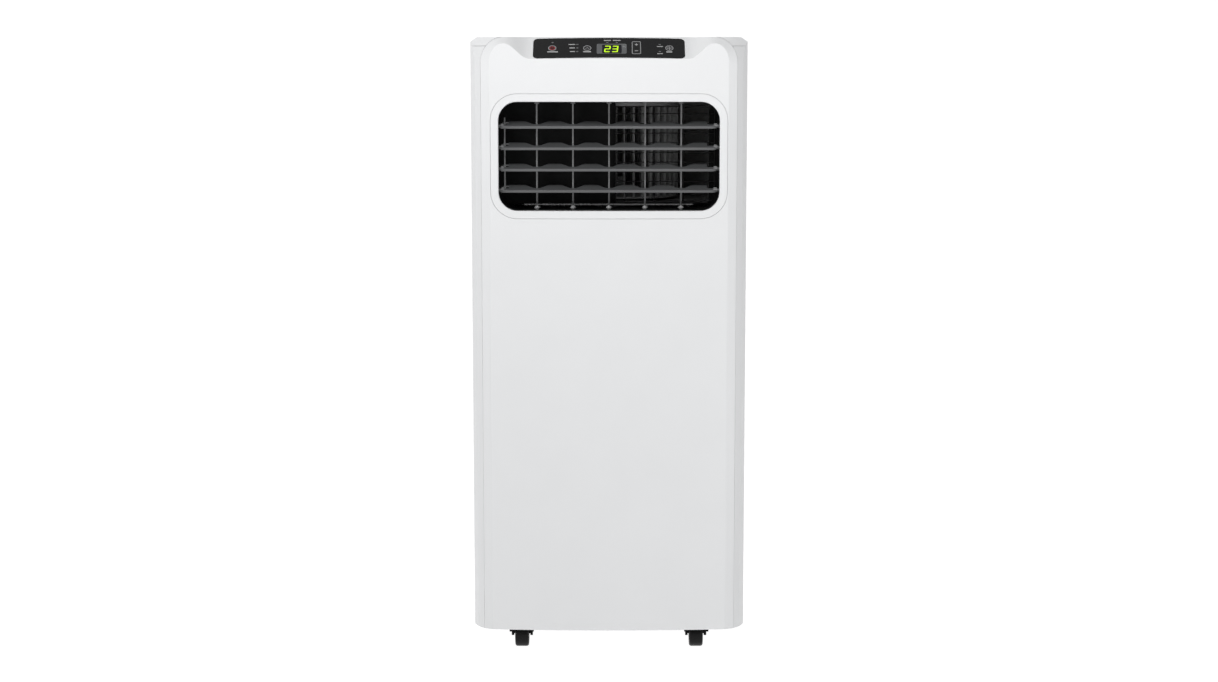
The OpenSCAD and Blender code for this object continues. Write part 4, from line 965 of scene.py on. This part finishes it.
for node_name in ("left_side_panel", "right_side_panel", "top_cover", "rear_panel"):
    finish_cad(node_name, CASE, 0.35, 14)
for node_name in ("exhaust_collar", "handle_cups", "lower_intake_grille", "filter_grille"):
    finish_cad(node_name, CASE, 0.4)
INNER_PARTS = [
    (DUCT, 0.3, ("outlet_frame",)),
    (SCROLL_PAINTED_SHADE, 0.4, ("blower_scroll",)),
    (DRUM_PAINTED_LIGHT, 0, ("blower_wheel", "condenser_wheel")),
    (PAN, 0.5, ("base_pan",)),
    (TRAY, 0.5, ("drip_tray",)),
    (FOAM, 0.6, ("condenser_scroll",)),
    (FINS, 0, ("evaporator", "condenser")),
    (COPPER, 0, ("copper_pipes",)),
    (ENAMEL, 0.6, ("compressor",)),
    (RUBBER, 0.3, ("compressor_grommets", "drain_plug")),
    (MOTOR, 0.5, ("blower_motor", "condenser_motor")),
    (ZINC, 0.4, ("electrical_box",)),
    (ZINC, 0.3, ("caster_plates",)),
    (SCREW, 0, ("case_screws",)),
    (FILTER, 0.2, ("air_filter",)),
    (RUBBER, 0.5, ("cord_inlet",)),
    (SPOUT, 0.3, ("drain_spout",)),
]
for material, width, names in INNER_PARTS:
    for node_name in names:
        finish_cad(node_name, material, width)
        if not width:
            shade_by_angle(NODES[node_name], 30)


# ---- Camera, floor and light ----

LENS = 63.7
CAMERA_BACK = 2400
CAMERA_HEIGHT = 675
CAMERA_DIP = 7.437
FLOOR_GLOW = 0.98
# Axis, direction and brightness: from the left, the front and the back.
SKY = (("X", -1, 0.46), ("Y", -1, 0.10), ("Y", 1, 1.05))
# Name, place, aim, size and power, in metres and watts.
LAMPS = [
    ("key_light", (-0.42, -1.3, 1.6), (0, -0.16, 0.56), (1.0, 0.6), 9.8),
    ("top_light", (0.0, -0.75, 1.25), (0, -0.16, 0.6), (0.8, 0.3), 2.8),
    ("side_light", (0.72, -0.86, 0.12), (0.14, -0.14, 0.2), (0.3, 0.4), 1.35),
]


def camera():
    """The camera, a little below the top of the case and tipped down."""
    data = bpy.data.cameras.new("camera")
    data.sensor_width = 36
    data.lens = LENS
    data.clip_end = 50
    eye = bpy.data.objects.new("camera", data)
    bpy.context.scene.collection.objects.link(eye)
    eye.location = Vector((0, FRONT - CAMERA_BACK, CAMERA_HEIGHT)) * MM
    eye.rotation_euler = (math.radians(90 - CAMERA_DIP), 0, 0)
    bpy.context.scene.camera = eye


def floor():
    """A pale, evenly lit floor."""
    n = Nodes("floor_white")
    tone = n.noise(0.002, 3.0)
    grey = n.colours(tone, [(0.3, (0.30, 0.30, 0.30)), (0.7, (0.32, 0.32, 0.32))])
    n.link(grey, n.shader.inputs["Base Color"])
    n.set(Roughness=0.9)
    n.shader.inputs["Specular IOR Level"].default_value = 0.0
    n.shader.inputs["Emission Color"].default_value = (1, 1, 1, 1)
    n.shader.inputs["Emission Strength"].default_value = FLOOR_GLOW
    bm = bmesh.new()
    bmesh.ops.create_grid(bm, x_segments=8, y_segments=8, size=12)
    mesh = bpy.data.meshes.new("floor")
    bm.to_mesh(mesh)
    bm.free()
    mesh.materials.append(n.material)
    plane = bpy.data.objects.new("floor", mesh)
    bpy.context.scene.collection.objects.link(plane)


def sky():
    """A white studio that is brighter towards the left, the front and most of all the back."""
    world = bpy.data.worlds.new("studio")
    bpy.context.scene.world = world
    world.use_nodes = True
    tree = world.node_tree
    background = tree.nodes["Background"]
    place = tree.nodes.new("ShaderNodeTexCoord")
    split = tree.nodes.new("ShaderNodeSeparateXYZ")
    tree.links.new(place.outputs["Generated"], split.inputs[0])
    total = None
    for axis, sign, brightness in SKY:
        part = tree.nodes.new("ShaderNodeMapRange")
        part.inputs["From Min"].default_value = 0
        part.inputs["From Max"].default_value = sign
        part.inputs["To Min"].default_value = 0
        part.inputs["To Max"].default_value = brightness
        tree.links.new(split.outputs[axis], part.inputs["Value"])
        if total:
            add = tree.nodes.new("ShaderNodeMath")
            tree.links.new(total, add.inputs[0])
            tree.links.new(part.outputs["Result"], add.inputs[1])
            total = add.outputs[0]
        else:
            total = part.outputs["Result"]
    tree.links.new(total, background.inputs["Strength"])
    background.inputs["Color"].default_value = (1, 1, 1, 1)


def lamp(name, place, aim, size, power):
    """A soft rectangular light that faces a point."""
    data = bpy.data.lights.new(name, "AREA")
    data.shape = "RECTANGLE"
    data.size, data.size_y = size
    data.energy = power
    light = bpy.data.objects.new(name, data)
    bpy.context.scene.collection.objects.link(light)
    light.location = place
    light.rotation_euler = (Vector(aim) - Vector(place)).to_track_quat("-Z", "Y").to_euler()


camera()
floor()
sky()
for values in LAMPS:
    lamp(*values)
bpy.context.scene.view_settings.view_transform = "Standard"
